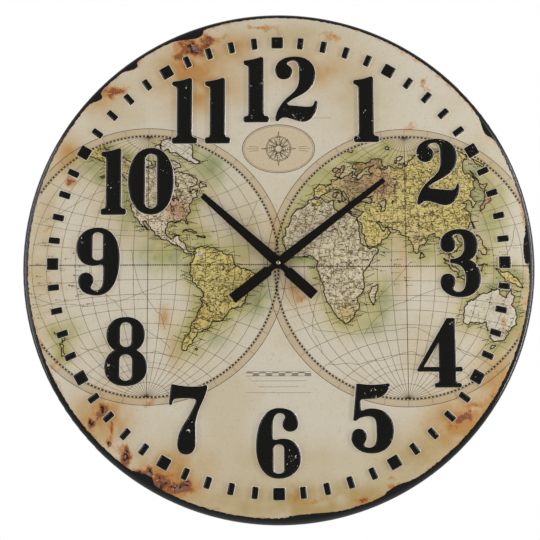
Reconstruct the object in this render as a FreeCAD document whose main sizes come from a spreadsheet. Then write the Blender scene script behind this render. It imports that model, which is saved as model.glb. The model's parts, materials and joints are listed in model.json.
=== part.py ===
import FreeCAD, Part
import Sketcher
import math
import os

from FreeCAD import Placement, Rotation, Vector

# A hanging wall clock: a pressed steel dial pan with raised numerals and a quartz movement behind it.
# Each piece is drawn in the dial's own frame: x to the right and y up as the viewer sees them,
# z towards the viewer, with zero on the front of the flat face. Its Placement stands it upright,
# with the wall at Y = 0 and the hanging screw's axis through the origin.

# Driving dimensions in millimetres, degrees and counts

DIAL_SIZES = {
    "dial_depth": 30,
    "dial_sheet": 0.7,
    "edge_round": 8,
    "edge_margin": 28,
    "rolled_edge_radius": 2.2,
    "relief_rise": 1.8,
    "mark_gap": 6.7,
    "hour_mark_side": 12.6,
    "minute_mark_length": 12.4,
    "minute_mark_width": 6.2,
    "mark_corner": 1.1,
    "hour_count": 12,
    "minute_count": 60,
    "numeral_gap": 29.08,
    "numeral_rise": 76,
}

HANGER_SIZES = {
    "hanger_above_centre": 146,
    "hanger_sheet": 1.2,
    "hanger_length": 50,
    "hanger_foot": 14,
    "hanger_wall_gap": 5,
    "screw_head_radius": 4.5,
    "screw_shank_radius": 2.2,
    "keyhole_drop": 8,
    "hanger_margin": 6.5,
}

CLAMP_SIZES = {
    "bushing_radius": 4,
    "bushing_front": 4.2,
    "bushing_flange_radius": 7,
    "bushing_flange": 0.8,
    "thread_gap": 0.05,
    "hole_gap": 0.15,
    "rubber_thickness": 1,
    "rubber_radius": 9,
    "washer_radius": 6.6,
    "washer_thickness": 0.5,
    "nut_corner_radius": 6.4,
    "nut_thickness": 2,
}

CASE_SIZES = {
    "battery_room": 5.5,
    "case_wall": 1.6,
    "case_depth": 20,
    "case_split": 11,
    "post_radius": 1.5,
    "post_left": -16,
    "post_low": -6,
    "post_high": 16,
    "post_right": 14,
    "battery_radius": 7.1,
    "battery_length": 50.5,
    "battery_nub_radius": 2.7,
    "battery_nub": 1,
    "battery_gap": 0.3,
    "battery_sleeve": 0.15,
    "battery_sleeve_margin": 1.2,
    "bay_height": 18,
    "contact_sheet": 0.4,
    "contact_width": 7,
    "contact_rise": 11,
    "contact_seat_gap": 0.05,
}

PLATE_SIZES = {
    "plate_thickness": 1.2,
    "middle_plate_back": 8.4,
    "train_plate_front": 18.2,
    "train_plate_thickness": 1,
    "plate_margin": 0.1,
    "train_plate_right": 15.6,
    "train_plate_left": 16.8,
    "train_plate_top": 18.1,
    "train_plate_bottom": 9.2,
    "train_post_radius": 1.2,
    "train_post_left": -15,
    "train_post_low": -7.4,
    "train_post_right": 12.5,
    "train_post_side": 14,
    "train_post_side_rise": 4.5,
    "train_post_corner": -10.4,
    "train_post_top": 16.9,
    "stator_post_left": -6.5,
    "stator_post_low": 8.6,
    "stator_post_right": 14.2,
    "stator_post_high": 14.6,
}

ARBOR_SIZES = {
    "arbor_radius": 0.5,
    "heavy_arbor_radius": 0.6,
    "running_gap": 0.06,
    "wide_running_gap": 0.08,
    "end_gap": 0.1,
    "pivot_depth": 1,
    "hour_tube_radius": 2.6,
    "minute_arbor_radius": 1.75,
    "minute_arbor_thread_radius": 1.4,
    "tooth_rise_share": 0.75,
    "tooth_fall_share": 1.15,
    "tooth_tip_share": 0.2,
    "tooth_pitch_share": 0.38,
    "tooth_root_share": 0.5,
}

TRAIN_SIZES = {
    "motion_distance": 10,
    "motion_angle": 10,
    "setting_distance": 11.25,
    "setting_angle": -5,
    "third_distance": 10,
    "third_angle": 150,
    "fifth_distance": 10.4,
    "fifth_angle": 80,
    "rotor_distance": 8,
    "rotor_angle": 10,
    "cannon_teeth": 12,
    "minute_wheel_teeth": 36,
    "minute_pinion_teeth": 10,
    "hour_teeth": 40,
    "setting_teeth": 18,
    "third_pinion_teeth": 8,
    "centre_teeth": 64,
    "fourth_pinion_teeth": 8,
    "third_teeth": 60,
    "fifth_pinion_teeth": 12,
    "fourth_teeth": 60,
    "rotor_pinion_teeth": 8,
    "fifth_teeth": 48,
    "hour_wheel_level": 4.4,
    "minute_wheel_level": 5.8,
    "centre_wheel_level": 8.8,
    "third_wheel_level": 10.4,
    "fourth_wheel_level": 12.2,
    "fifth_wheel_level": 13.8,
    "wheel_thickness": 0.8,
    "motion_wheel_thickness": 1,
    "pinion_margin": 0.2,
    "clutch_radius": 3,
    "clutch_thickness": 0.2,
    "clutch_gap": 0.05,
    "collar_radius": 2.2,
    "collar_thickness": 0.25,
    "pivot_cover": 6,
}

MOTOR_SIZES = {
    "magnet_radius": 3,
    "magnet_front": 15.4,
    "magnet_length": 2,
    "stator_hole_radius": 3.6,
    "stator_front": 15.9,
    "stator_thickness": 1,
    "stator_left": -8.4,
    "stator_right": 20.6,
    "stator_arm": 2.2,
    "stator_bar_half": 4.6,
    "stator_top": 22.8,
    "stator_arbor_gap": 0.7,
    "core_width": 2.6,
    "core_thickness": 1,
    "coil_height": 21.5,
    "bobbin_gap": 0.1,
    "bobbin_end": 0.8,
    "bobbin_radius": 3.3,
    "bobbin_barrel_radius": 1.9,
    "winding_radius": 3,
    "board_left": -25.6,
    "board_right": -12.2,
    "board_bottom": 8,
    "board_top": 25.6,
    "board_front": 14.4,
    "board_thickness": 0.8,
    "board_post_radius": 1.2,
    "board_post_inset": 2.6,
    "chip_radius": 2.4,
    "chip_height": 1.2,
    "chip_up_board": 5.4,
    "chip_across_board": 8.8,
    "crystal_radius": 1,
    "crystal_length": 6,
    "crystal_across_board": 3.4,
    "crystal_up_board": 4,
}

KNOB_SIZES = {
    "knob_radius": 5.5,
    "knob_thickness": 2.2,
    "knob_stand_off": 0.3,
    "knob_shaft_radius": 2,
    "knob_pivot_radius": 1,
    "knob_grip_radius": 0.8,
    "knob_grip_count": 12,
}

HAND_SIZES = {
    "hand_sheet": 0.8,
    "hand_seat_gap": 0.02,
    "hand_hub_radius": 6.6,
    "hand_neck_half": 3.4,
    "hand_neck_reach": 12,
    "hand_shoulder_reach": 14.6,
    "hand_tail_half": 5.9,
    "hour_hand_level": 5,
    "hour_hand_reach": 114.5,
    "hour_hand_tail": 54,
    "hour_hand_root_half": 5.8,
    "hour_hand_tip_half": 3.3,
    "hour_hand_angle": -48,
    "minute_hand_level": 7.4,
    "minute_hand_reach": 151,
    "minute_hand_tail": 65,
    "minute_hand_root_half": 5.2,
    "minute_hand_tip_half": 2.8,
    "minute_hand_angle": 52,
    "hand_root_reach": 13,
    "cap_nut_radius": 2.7,
    "cap_nut_rise": 3.6,
    "cap_nut_wall": 1.1,
}

# Numerals in shares of their height: a start point, then points joined by straight lines (two numbers)
# or by cubic curves (two handles and an end point, six numbers)

ONE_SHARES = [[
    (0.03, 0.0), (0.345, 0.0), (0.385, 0.0, 0.385, 0.085, 0.345, 0.085),
    (0.31, 0.085, 0.295, 0.1, 0.295, 0.14), (0.295, 0.955), (0.295, 0.985, 0.28, 1.0, 0.25, 0.995),
    (0.18, 0.965, 0.11, 0.95, 0.03, 0.945), (-0.01, 0.94, -0.01, 0.89, 0.025, 0.88),
    (0.065, 0.87, 0.075, 0.85, 0.075, 0.8), (0.075, 0.14), (0.075, 0.1, 0.065, 0.085, 0.03, 0.085),
    (-0.01, 0.085, -0.01, 0.0, 0.03, 0.0),
]]

TWO_SHARES = [[
    (0.0, 0.785), (0.0, 0.92, 0.12, 1.0, 0.29, 1.0), (0.48, 1.0, 0.595, 0.89, 0.595, 0.73),
    (0.595, 0.55, 0.48, 0.47, 0.37, 0.41), (0.28, 0.365, 0.2, 0.325, 0.175, 0.28),
    (0.18, 0.25, 0.205, 0.245, 0.25, 0.245), (0.33, 0.235, 0.42, 0.225, 0.5, 0.225),
    (0.55, 0.225, 0.575, 0.25, 0.585, 0.295), (0.595, 0.325, 0.625, 0.325, 0.625, 0.28),
    (0.62, 0.15, 0.55, 0.015, 0.42, 0.005), (0.33, 0.0, 0.22, 0.07, 0.13, 0.07),
    (0.09, 0.07, 0.06, 0.04, 0.04, 0.02), (0.015, 0.0, -0.01, 0.02, 0.0, 0.06),
    (0.015, 0.15, 0.05, 0.22, 0.12, 0.31), (0.21, 0.41, 0.355, 0.47, 0.355, 0.64),
    (0.355, 0.8), (0.355, 0.89, 0.33, 0.945, 0.26, 0.945), (0.2, 0.945, 0.16, 0.9, 0.18, 0.875),
    (0.2, 0.855, 0.25, 0.835, 0.25, 0.77), (0.25, 0.7, 0.19, 0.655, 0.125, 0.655),
    (0.055, 0.655, 0.0, 0.71, 0.0, 0.785),
]]

THREE_SHARES = [[
    (0.15, 0.555), (0.26, 0.555, 0.36, 0.6, 0.36, 0.75), (0.36, 0.86, 0.34, 0.935, 0.26, 0.935),
    (0.21, 0.935, 0.175, 0.905, 0.19, 0.875), (0.2, 0.855, 0.225, 0.83, 0.225, 0.775),
    (0.225, 0.705, 0.18, 0.66, 0.12, 0.66), (0.05, 0.66, 0.01, 0.71, 0.01, 0.78),
    (0.01, 0.91, 0.13, 1.0, 0.3, 1.0), (0.46, 1.0, 0.555, 0.91, 0.555, 0.775),
    (0.555, 0.66, 0.51, 0.585, 0.43, 0.545), (0.53, 0.51, 0.59, 0.41, 0.59, 0.28),
    (0.59, 0.11, 0.47, 0.0, 0.29, 0.0), (0.12, 0.0, 0.0, 0.09, 0.0, 0.22),
    (0.0, 0.29, 0.045, 0.34, 0.11, 0.34), (0.17, 0.34, 0.215, 0.295, 0.215, 0.235),
    (0.215, 0.18, 0.18, 0.155, 0.185, 0.12), (0.19, 0.085, 0.23, 0.065, 0.27, 0.07),
    (0.35, 0.08, 0.375, 0.16, 0.375, 0.28), (0.375, 0.42, 0.3, 0.5, 0.15, 0.5),
]]

FOUR_SHARES = [
    [
        (0.27, 0.0), (0.615, 0.0), (0.645, 0.0, 0.645, 0.055, 0.615, 0.055),
        (0.57, 0.055, 0.555, 0.07, 0.555, 0.11), (0.555, 0.23), (0.635, 0.23),
        (0.66, 0.23, 0.66, 0.29, 0.635, 0.29), (0.555, 0.29), (0.555, 0.975),
        (0.555, 1.0, 0.545, 1.0, 0.53, 1.0), (0.46, 1.0), (0.445, 1.0, 0.44, 1.0, 0.43, 0.985),
        (0.005, 0.27), (-0.01, 0.245, 0.0, 0.23, 0.02, 0.23),
        (0.315, 0.23), (0.315, 0.11), (0.315, 0.07, 0.3, 0.055, 0.27, 0.055),
        (0.24, 0.055, 0.24, 0.0, 0.27, 0.0),
    ],
    [(0.315, 0.66), (0.315, 0.29), (0.085, 0.29)],
]

FIVE_SHARES = [[
    (0.075, 0.97), (0.08, 0.995, 0.1, 0.995, 0.12, 0.99), (0.25, 0.97, 0.4, 0.97, 0.53, 0.995),
    (0.56, 1.0, 0.57, 0.985, 0.555, 0.955), (0.52, 0.86, 0.45, 0.79, 0.34, 0.785), (0.17, 0.775),
    (0.135, 0.775, 0.13, 0.765, 0.13, 0.73), (0.135, 0.63), (0.135, 0.605, 0.155, 0.6, 0.18, 0.61),
    (0.22, 0.63, 0.26, 0.635, 0.3, 0.635), (0.5, 0.635, 0.61, 0.5, 0.61, 0.33),
    (0.61, 0.12, 0.48, 0.0, 0.29, 0.0), (0.12, 0.0, 0.0, 0.1, 0.0, 0.22),
    (0.0, 0.295, 0.05, 0.345, 0.11, 0.345), (0.17, 0.345, 0.215, 0.3, 0.215, 0.235),
    (0.215, 0.18, 0.175, 0.155, 0.18, 0.12), (0.185, 0.085, 0.23, 0.07, 0.27, 0.075),
    (0.34, 0.085, 0.365, 0.15, 0.365, 0.25), (0.365, 0.4), (0.365, 0.49, 0.33, 0.53, 0.25, 0.53),
    (0.18, 0.53, 0.12, 0.515, 0.085, 0.48), (0.06, 0.455, 0.025, 0.465, 0.03, 0.5),
]]

SEVEN_SHARES = [[
    (0.06, 1.0), (0.2, 0.965, 0.36, 0.96, 0.49, 0.975), (0.515, 0.985, 0.53, 0.995, 0.545, 0.985),
    (0.56, 0.975, 0.555, 0.955, 0.55, 0.935), (0.52, 0.81, 0.43, 0.68, 0.395, 0.53),
    (0.365, 0.4, 0.39, 0.27, 0.385, 0.16), (0.38, 0.06, 0.335, 0.0, 0.25, 0.0),
    (0.17, 0.0, 0.125, 0.06, 0.125, 0.14), (0.125, 0.32, 0.22, 0.42, 0.3, 0.56),
    (0.34, 0.63, 0.38, 0.7, 0.39, 0.76), (0.395, 0.785, 0.38, 0.8, 0.35, 0.8),
    (0.25, 0.815, 0.17, 0.81, 0.1, 0.8), (0.06, 0.795, 0.05, 0.77, 0.045, 0.745),
    (0.04, 0.7, -0.005, 0.7, 0.0, 0.745), (0.025, 0.975), (0.03, 1.0, 0.04, 1.005, 0.06, 1.0),
]]

EIGHT_SHARES = [
    [
        (0.46, 0.52), (0.54, 0.565, 0.585, 0.65, 0.585, 0.745), (0.585, 0.9, 0.47, 1.0, 0.305, 1.0),
        (0.14, 1.0, 0.025, 0.9, 0.025, 0.745), (0.025, 0.65, 0.07, 0.565, 0.15, 0.52),
        (0.05, 0.47, 0.0, 0.38, 0.0, 0.27), (0.0, 0.11, 0.12, 0.0, 0.31, 0.0),
        (0.5, 0.0, 0.62, 0.11, 0.62, 0.27), (0.62, 0.38, 0.56, 0.47, 0.46, 0.52),
    ],
    [
        (0.22, 0.84), (0.22, 0.65), (0.22, 0.53, 0.395, 0.53, 0.395, 0.65), (0.395, 0.84),
        (0.395, 0.96, 0.22, 0.96, 0.22, 0.84),
    ],
    [
        (0.215, 0.375), (0.215, 0.16), (0.215, 0.04, 0.405, 0.04, 0.405, 0.16), (0.405, 0.375),
        (0.405, 0.49, 0.215, 0.49, 0.215, 0.375),
    ],
]

NINE_SHARES = [
    [
        (0.32, 1.0), (0.53, 1.0, 0.64, 0.8, 0.64, 0.55), (0.64, 0.22, 0.52, 0.0, 0.31, 0.0),
        (0.13, 0.0, 0.035, 0.09, 0.035, 0.22), (0.035, 0.285, 0.08, 0.33, 0.145, 0.33),
        (0.21, 0.33, 0.255, 0.285, 0.255, 0.225), (0.255, 0.17, 0.215, 0.15, 0.22, 0.115),
        (0.225, 0.08, 0.27, 0.06, 0.31, 0.065), (0.39, 0.08, 0.405, 0.17, 0.405, 0.26),
        (0.405, 0.4), (0.405, 0.44, 0.39, 0.46, 0.35, 0.455), (0.3, 0.44, 0.26, 0.435, 0.22, 0.44),
        (0.09, 0.45, 0.0, 0.56, 0.0, 0.71), (0.0, 0.88, 0.13, 1.0, 0.32, 1.0),
    ],
    [
        (0.235, 0.87), (0.235, 0.58), (0.235, 0.49, 0.395, 0.49, 0.395, 0.58), (0.395, 0.87),
        (0.395, 0.96, 0.235, 0.96, 0.235, 0.87),
    ],
]

ZERO_SHARES = [
    [
        (0.34, 0.0), (0.57, 0.0, 0.68, 0.24, 0.68, 0.5), (0.68, 0.76, 0.57, 1.0, 0.34, 1.0),
        (0.11, 1.0, 0.0, 0.76, 0.0, 0.5), (0.0, 0.24, 0.11, 0.0, 0.34, 0.0),
    ],
    [
        (0.248, 0.83), (0.248, 0.17), (0.248, 0.055, 0.432, 0.055, 0.432, 0.17), (0.432, 0.83),
        (0.432, 0.945, 0.248, 0.945, 0.248, 0.83),
    ],
]


def half_turn(outline, width_share):
    """The same digit upside down, as a 6 is of a 9."""
    turned = []
    for loop in outline:
        turned.append([tuple(width_share - v if i % 2 == 0 else 1 - v for i, v in enumerate(point))
                       for point in loop])
    return turned


# Points nearer than this share of the numeral's height are one point
CLOSING_SHARE = 0.0001

# Edges of the hollow backs shorter than this share of the numeral's height are left out
SHORTEST_SHARE = 0.0005
CURVE_POINTS = 5

# Each digit's outline and its width in shares of the numeral's height
DIGIT_SHARES = {
    "0": (ZERO_SHARES, 0.68),
    "1": (ONE_SHARES, 0.375),
    "2": (TWO_SHARES, 0.62),
    "3": (THREE_SHARES, 0.59),
    "4": (FOUR_SHARES, 0.655),
    "5": (FIVE_SHARES, 0.61),
    "6": (half_turn(NINE_SHARES, 0.64), 0.64),
    "7": (SEVEN_SHARES, 0.555),
    "8": (EIGHT_SHARES, 0.62),
    "9": (NINE_SHARES, 0.64),
}

# The gap between two digits, and how far each numeral stands off its place on the ring, in the same shares
PAIR_GAP_SHARES = {"10": 0.03, "11": 0.12, "12": 0.105}
SHIFT_SHARES = {
    1: (-0.005, 0.0), 2: (0.07, 0.016), 3: (0.015, -0.008), 4: (0.042, 0.014),
    5: (0.023, 0.05), 6: (-0.009, 0.052), 7: (0.014, 0.04), 8: (0.072, 0.047),
    9: (0.0, 0.037), 10: (0.217, -0.099), 11: (0.187, -0.007), 12: (0.042, -0.046),
}

document = FreeCAD.newDocument("clock")
sheet = document.addObject("Spreadsheet::Sheet", "sizes")


def fill_sheet(groups):
    """One row for each size: its name, and its number under that alias."""
    row = 1
    for group in groups:
        for alias, number in group.items():
            sheet.set("A%d" % row, alias)
            sheet.set("B%d" % row, str(number))
            sheet.setAlias("B%d" % row, alias)
            row += 1


fill_sheet([DIAL_SIZES, HANGER_SIZES, CLAMP_SIZES, CASE_SIZES, PLATE_SIZES, ARBOR_SIZES, TRAIN_SIZES,
            MOTOR_SIZES, KNOB_SIZES, HAND_SIZES])
document.recompute()


class Size:
    """A size of the sheet, or a sum of such sizes: its number, and the expression that gives it."""

    def __init__(self, number, text):
        self.number = number
        self.text = text

    def joined(self, other, sign, number):
        other = as_size(other)
        return Size(number(self.number, other.number), "(%s %s %s)" % (self.text, sign, other.text))

    def __add__(self, other):
        return self.joined(other, "+", lambda a, b: a + b)

    def __sub__(self, other):
        return self.joined(other, "-", lambda a, b: a - b)

    def __mul__(self, other):
        return self.joined(other, "*", lambda a, b: a * b)

    def __truediv__(self, other):
        return self.joined(other, "/", lambda a, b: a / b)

    def __neg__(self):
        return Size(-self.number, "(0 - %s)" % self.text)


def as_size(value):
    if isinstance(value, Size):
        return value
    return Size(float(value), repr(value))


def size(alias):
    return Size(float(sheet.get(alias)), "sizes." + alias)


def across(distance, angle):
    """The x and y of a point at a distance and an angle from the centre."""
    turn = math.radians(angle.number)
    return (Size(distance.number * math.cos(turn), "(%s * cos(%s))" % (distance.text, angle.text)),
            Size(distance.number * math.sin(turn), "(%s * sin(%s))" % (distance.text, angle.text)))


ZERO = Size(0.0, "0")
CENTRE = (ZERO, ZERO)
FULL_TURN = 360
HALF_TURN = FULL_TURN / 2
QUARTER_TURN = FULL_TURN / 4
NUT_SIDES = 6

# The dial's rings: the numerals, spread by their gap, then the marks, the flat and the rounded edge

half_hour = math.pi / size("hour_count").number
hour_spread = size("numeral_rise").number + size("numeral_gap").number
numeral_ring_radius = hour_spread / (2 * math.sin(half_hour))
numeral_reach = numeral_ring_radius + size("numeral_rise").number / 2
mark_ring_radius = numeral_reach + size("mark_gap").number + size("hour_mark_side").number / 2
flat_radius = mark_ring_radius + size("edge_margin").number
dial_radius = flat_radius + size("edge_round").number

# Levels along the dial's axis, from the front of the face

dial_sheet = size("dial_sheet")
dial_depth = size("dial_depth")
case_wall = size("case_wall")
end_gap = size("end_gap")
running_gap = size("running_gap")
wide_running_gap = size("wide_running_gap")
case_front = -(dial_sheet + size("rubber_thickness"))
case_floor = case_front - case_wall
case_back = case_front - size("case_depth")
case_back_inside = case_back + case_wall
case_split = case_front - size("case_split")
case_half = (size("battery_length") + size("battery_room")) / 2
case_inside = case_half - case_wall
middle_back = -size("middle_plate_back")
middle_front = middle_back + size("plate_thickness")
train_front = -size("train_plate_front")
train_back = train_front - size("train_plate_thickness")
wheel_thickness = size("wheel_thickness")
motion_thickness = size("motion_wheel_thickness")
pinion_margin = size("pinion_margin")
hour_wheel_front = -size("hour_wheel_level")
hour_wheel_back = hour_wheel_front - motion_thickness
minute_wheel_front = -size("minute_wheel_level")
minute_wheel_back = minute_wheel_front - motion_thickness
hour_hand_back = size("hour_hand_level")
hour_hand_front = hour_hand_back + size("hand_sheet")
minute_hand_back = size("minute_hand_level")
minute_hand_front = minute_hand_back + size("hand_sheet")
bay_top = size("bay_height") - case_half
bay_floor = case_floor - end_gap - case_wall
bay_front = case_floor - end_gap
battery_level = bay_floor - size("battery_gap") - size("battery_radius")
battery_height = bay_top - case_wall - size("battery_gap") - size("battery_radius")

# Arbor places on the movement

motion_place = across(size("motion_distance"), size("motion_angle"))
setting_step = across(size("setting_distance"), size("setting_angle"))
setting_place = (motion_place[0] + setting_step[0], motion_place[1] + setting_step[1])
third_place = across(size("third_distance"), size("third_angle"))
fifth_place = across(size("fifth_distance"), size("fifth_angle"))
rotor_step = across(size("rotor_distance"), size("rotor_angle"))
rotor_place = (fifth_place[0] + rotor_step[0], fifth_place[1] + rotor_step[1])


def pitch_radius(distance, teeth, mate_teeth):
    """The pitch radius of a wheel that meshes with its mate at this centre distance."""
    return distance * teeth / (teeth + mate_teeth)


cannon_radius = pitch_radius(size("motion_distance"), size("cannon_teeth"), size("minute_wheel_teeth"))
minute_wheel_radius = pitch_radius(size("motion_distance"), size("minute_wheel_teeth"), size("cannon_teeth"))
minute_pinion_radius = pitch_radius(size("motion_distance"), size("minute_pinion_teeth"), size("hour_teeth"))
hour_wheel_radius = pitch_radius(size("motion_distance"), size("hour_teeth"), size("minute_pinion_teeth"))
setting_radius = pitch_radius(size("setting_distance"), size("setting_teeth"), size("minute_wheel_teeth"))
third_pinion_radius = pitch_radius(size("third_distance"), size("third_pinion_teeth"), size("centre_teeth"))
centre_wheel_radius = pitch_radius(size("third_distance"), size("centre_teeth"), size("third_pinion_teeth"))
fourth_pinion_radius = pitch_radius(size("third_distance"), size("fourth_pinion_teeth"), size("third_teeth"))
third_wheel_radius = pitch_radius(size("third_distance"), size("third_teeth"), size("fourth_pinion_teeth"))
fifth_pinion_radius = pitch_radius(size("fifth_distance"), size("fifth_pinion_teeth"), size("fourth_teeth"))
fourth_wheel_radius = pitch_radius(size("fifth_distance"), size("fourth_teeth"), size("fifth_pinion_teeth"))
rotor_pinion_radius = pitch_radius(size("rotor_distance"), size("rotor_pinion_teeth"), size("fifth_teeth"))
fifth_wheel_radius = pitch_radius(size("rotor_distance"), size("fifth_teeth"), size("rotor_pinion_teeth"))

PIECES = []


def stand_up(piece, angle=None):
    """Stands a finished piece in the room: face forward, wall at Y = 0, screw axis through the origin."""
    upright = Rotation(Vector(1, 0, 0), QUARTER_TURN)
    if angle is not None:
        upright = upright.multiply(Rotation(Vector(0, 0, 1), -angle.number))
    base = Vector(0, -dial_depth.number, -size("hanger_above_centre").number)
    piece.Placement = Placement(base, upright)
    piece.setExpression("Placement.Base.y", "0 - sizes.dial_depth")
    piece.setExpression("Placement.Base.z", "0 - sizes.hanger_above_centre")
    PIECES.append(piece)


def new_body(label, angle=None):
    body = document.addObject("PartDesign::Body", label)
    body.Label = label
    stand_up(body, angle)
    return body


def origin_plane(body, role):
    return [feature for feature in body.Origin.OriginFeatures if feature.Role == role][0]


def new_sketch(body, level, role="XY_Plane"):
    sketch = body.newObject("Sketcher::SketchObject", body.Name + "_outline")
    sketch.AttachmentSupport = (origin_plane(body, role), [""])
    sketch.MapMode = "FlatFace"
    sketch.AttachmentOffset = Placement(Vector(0, 0, level.number), Rotation())
    if level.text != "0":
        sketch.setExpression("AttachmentOffset.Base.z", level.text)
    return sketch


def hold(sketch, kind, geometry, point, value):
    """Dimensions one coordinate of a point of the sketch from its origin."""
    index = sketch.addConstraint(Sketcher.Constraint(kind, -1, 1, geometry, point, value.number))
    if value.text != "0":
        sketch.setExpression("Constraints[%d]" % index, value.text)


def hold_point(sketch, geometry, point, place):
    if place[0].text == "0" and place[1].text == "0":
        sketch.addConstraint(Sketcher.Constraint("Coincident", geometry, point, -1, 1))
        return
    for axis, kind, value in ((-2, "DistanceX", place[0]), (-1, "DistanceY", place[1])):
        if value.text == "0":
            sketch.addConstraint(Sketcher.Constraint("PointOnObject", geometry, point, axis))
        else:
            hold(sketch, kind, geometry, point, value)


def circle(sketch, radius, place=CENTRE):
    centre = Vector(place[0].number, place[1].number, 0)
    index = sketch.addGeometry(Part.Circle(centre, Vector(0, 0, 1), radius.number), False)
    bound = sketch.addConstraint(Sketcher.Constraint("Radius", index, radius.number))
    sketch.setExpression("Constraints[%d]" % bound, radius.text)
    hold_point(sketch, index, 3, place)


def outline(sketch, corners):
    """A closed outline of straight lines through these corners, each held from the sketch's origin."""
    count = len(corners)
    points = [Vector(x.number, y.number, 0) for x, y in corners]
    lines = [sketch.addGeometry(Part.LineSegment(points[i], points[(i + 1) % count]), False)
             for i in range(count)]
    for i, line in enumerate(lines):
        sketch.addConstraint(Sketcher.Constraint("Coincident", line, 2, lines[(i + 1) % count], 1))
        hold_point(sketch, line, 1, corners[i])


def corners_of(left, right, bottom, top):
    return [(left, bottom), (right, bottom), (right, top), (left, top)]


def add_length(feature, length):
    feature.Length = length.number
    feature.setExpression("Length", length.text)


def pad(body, draw, back, front):
    """Adds material between two levels, over the outline that draw makes."""
    sketch = new_sketch(body, back)
    draw(sketch)
    feature = body.newObject("PartDesign::Pad", body.Name + "_pad")
    feature.Profile = sketch
    add_length(feature, front - back)
    return feature


def pocket(body, draw, back, front):
    """Takes material away between two levels, inside the outline that draw makes."""
    sketch = new_sketch(body, front)
    draw(sketch)
    feature = body.newObject("PartDesign::Pocket", body.Name + "_pocket")
    feature.Profile = sketch
    add_length(feature, front - back)
    return feature


def disc(body, radius, back, front, place=CENTRE):
    return pad(body, lambda sketch: circle(sketch, radius, place), back, front)


def bore(body, radius, back, front, place=CENTRE):
    return pocket(body, lambda sketch: circle(sketch, radius, place), back, front)


def slab(body, corners, back, front):
    return pad(body, lambda sketch: outline(sketch, corners), back, front)


def recess(body, corners, back, front):
    return pocket(body, lambda sketch: outline(sketch, corners), back, front)


def repeat_round(body, feature, count):
    """Repeats a feature around the dial's axis."""
    pattern = body.newObject("PartDesign::PolarPattern", body.Name + "_pattern")
    pattern.Originals = [feature]
    pattern.Axis = (origin_plane(body, "Z_Axis"), [""])
    pattern.Angle = FULL_TURN
    pattern.Occurrences = int(count.number)
    pattern.setExpression("Occurrences", count.text)
    body.Tip = pattern
    return pattern


# The dial


def arc_about(centre, radius, first, last, point):
    """An arc about a centre between two angles in degrees; point turns its x and y into a place."""
    spots = []
    for angle in (first, (first + last) / 2, last):
        turn = math.radians(angle)
        spots.append(point(centre[0] + radius * math.cos(turn), centre[1] + radius * math.sin(turn)))
    return Part.Arc(*spots).toShape()


def pan_rim():
    """The pan's rounded edge, skirt and rolled back edge, turned from half a section."""
    radius = dial_radius
    edge = size("edge_round").number
    rolled = size("rolled_edge_radius").number
    wall = dial_sheet.number
    roll_level = rolled - dial_depth.number
    roll_centre = (radius - rolled, roll_level)
    closing = math.degrees(math.acos((rolled - wall) / rolled))
    roll_top = roll_level + rolled * math.sin(math.radians(closing))
    edge_centre = (radius - edge, -edge)

    def section(x, y):
        return Vector(x, 0, y)

    parts = [
        arc_about(edge_centre, edge, QUARTER_TURN, 0, section),
        Part.LineSegment(section(radius, -edge), section(radius, roll_level)).toShape(),
        arc_about(roll_centre, rolled, 0, -HALF_TURN, section),
        arc_about(roll_centre, rolled, HALF_TURN, closing, section),
        Part.LineSegment(section(radius - wall, roll_top), section(radius - wall, -edge)).toShape(),
        arc_about(edge_centre, edge - wall, 0, QUARTER_TURN, section),
    ]
    return Part.Wire(parts).revolve(Vector(0, 0, 0), Vector(0, 0, 1), FULL_TURN)


def mark_outline(length, width, corner, turn):
    """A mark with rounded corners on the ring of marks, turned clockwise from the top."""
    middle = mark_ring_radius
    cos_turn = math.cos(turn)
    sin_turn = math.sin(turn)

    def turned(x, y):
        return Vector(x * cos_turn + y * sin_turn, y * cos_turn - x * sin_turn, 0)

    edges = []
    half_x = width / 2 - corner
    half_y = length / 2 - corner
    corner_places = [(half_x, middle + half_y, 0), (-half_x, middle + half_y, QUARTER_TURN),
                     (-half_x, middle - half_y, HALF_TURN), (half_x, middle - half_y, -QUARTER_TURN)]
    for i, (x, y, first) in enumerate(corner_places):
        edges.append(arc_about((x, y), corner, first, first + QUARTER_TURN, turned))
        start = edges[-1].Vertexes[-1].Point
        next_x, next_y, next_first = corner_places[(i + 1) % len(corner_places)]
        angle = math.radians(next_first)
        stop = turned(next_x + corner * math.cos(angle), next_y + corner * math.sin(angle))
        edges.append(Part.LineSegment(start, stop).toShape())
    return Part.Face(Part.Wire(edges))


def mark_faces(wall):
    """The faces of the sixty marks, drawn in from their sides by a wall: squares at the hours."""
    side = size("hour_mark_side").number
    length = size("minute_mark_length").number
    width = size("minute_mark_width").number
    corner = size("mark_corner").number
    count = int(size("minute_count").number)
    step = count / size("hour_count").number
    faces = []
    for minute in range(count):
        turn = 2 * math.pi * minute / count
        if minute % step == 0:
            faces.append(mark_outline(side - 2 * wall, side - 2 * wall, corner - wall, turn))
        else:
            faces.append(mark_outline(length - 2 * wall, width - 2 * wall, corner - wall, turn))
    return faces


def digit_face(digit, left, bottom, rise):
    """One digit as a flat face, its lower left corner at left and bottom."""
    wires = []
    for loop in DIGIT_SHARES[digit][0]:
        spots = [[Vector(left + point[i] * rise, bottom + point[i + 1] * rise, 0)
                  for i in range(0, len(point), 2)] for point in loop]
        edges = []
        here = spots[0][-1]
        for spot in spots[1:] + [spots[0]]:
            there = spot[-1]
            if (there - here).Length < rise * CLOSING_SHARE:
                continue
            if len(spot) == 1:
                edges.append(Part.LineSegment(here, there).toShape())
            else:
                curve = Part.BezierCurve()
                curve.setPoles([here] + spot)
                edges.append(curve.toShape())
            here = there
        wires.append(Part.Wire(edges))
    return Part.Face(wires, "Part::FaceMakerBullseye")


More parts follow.
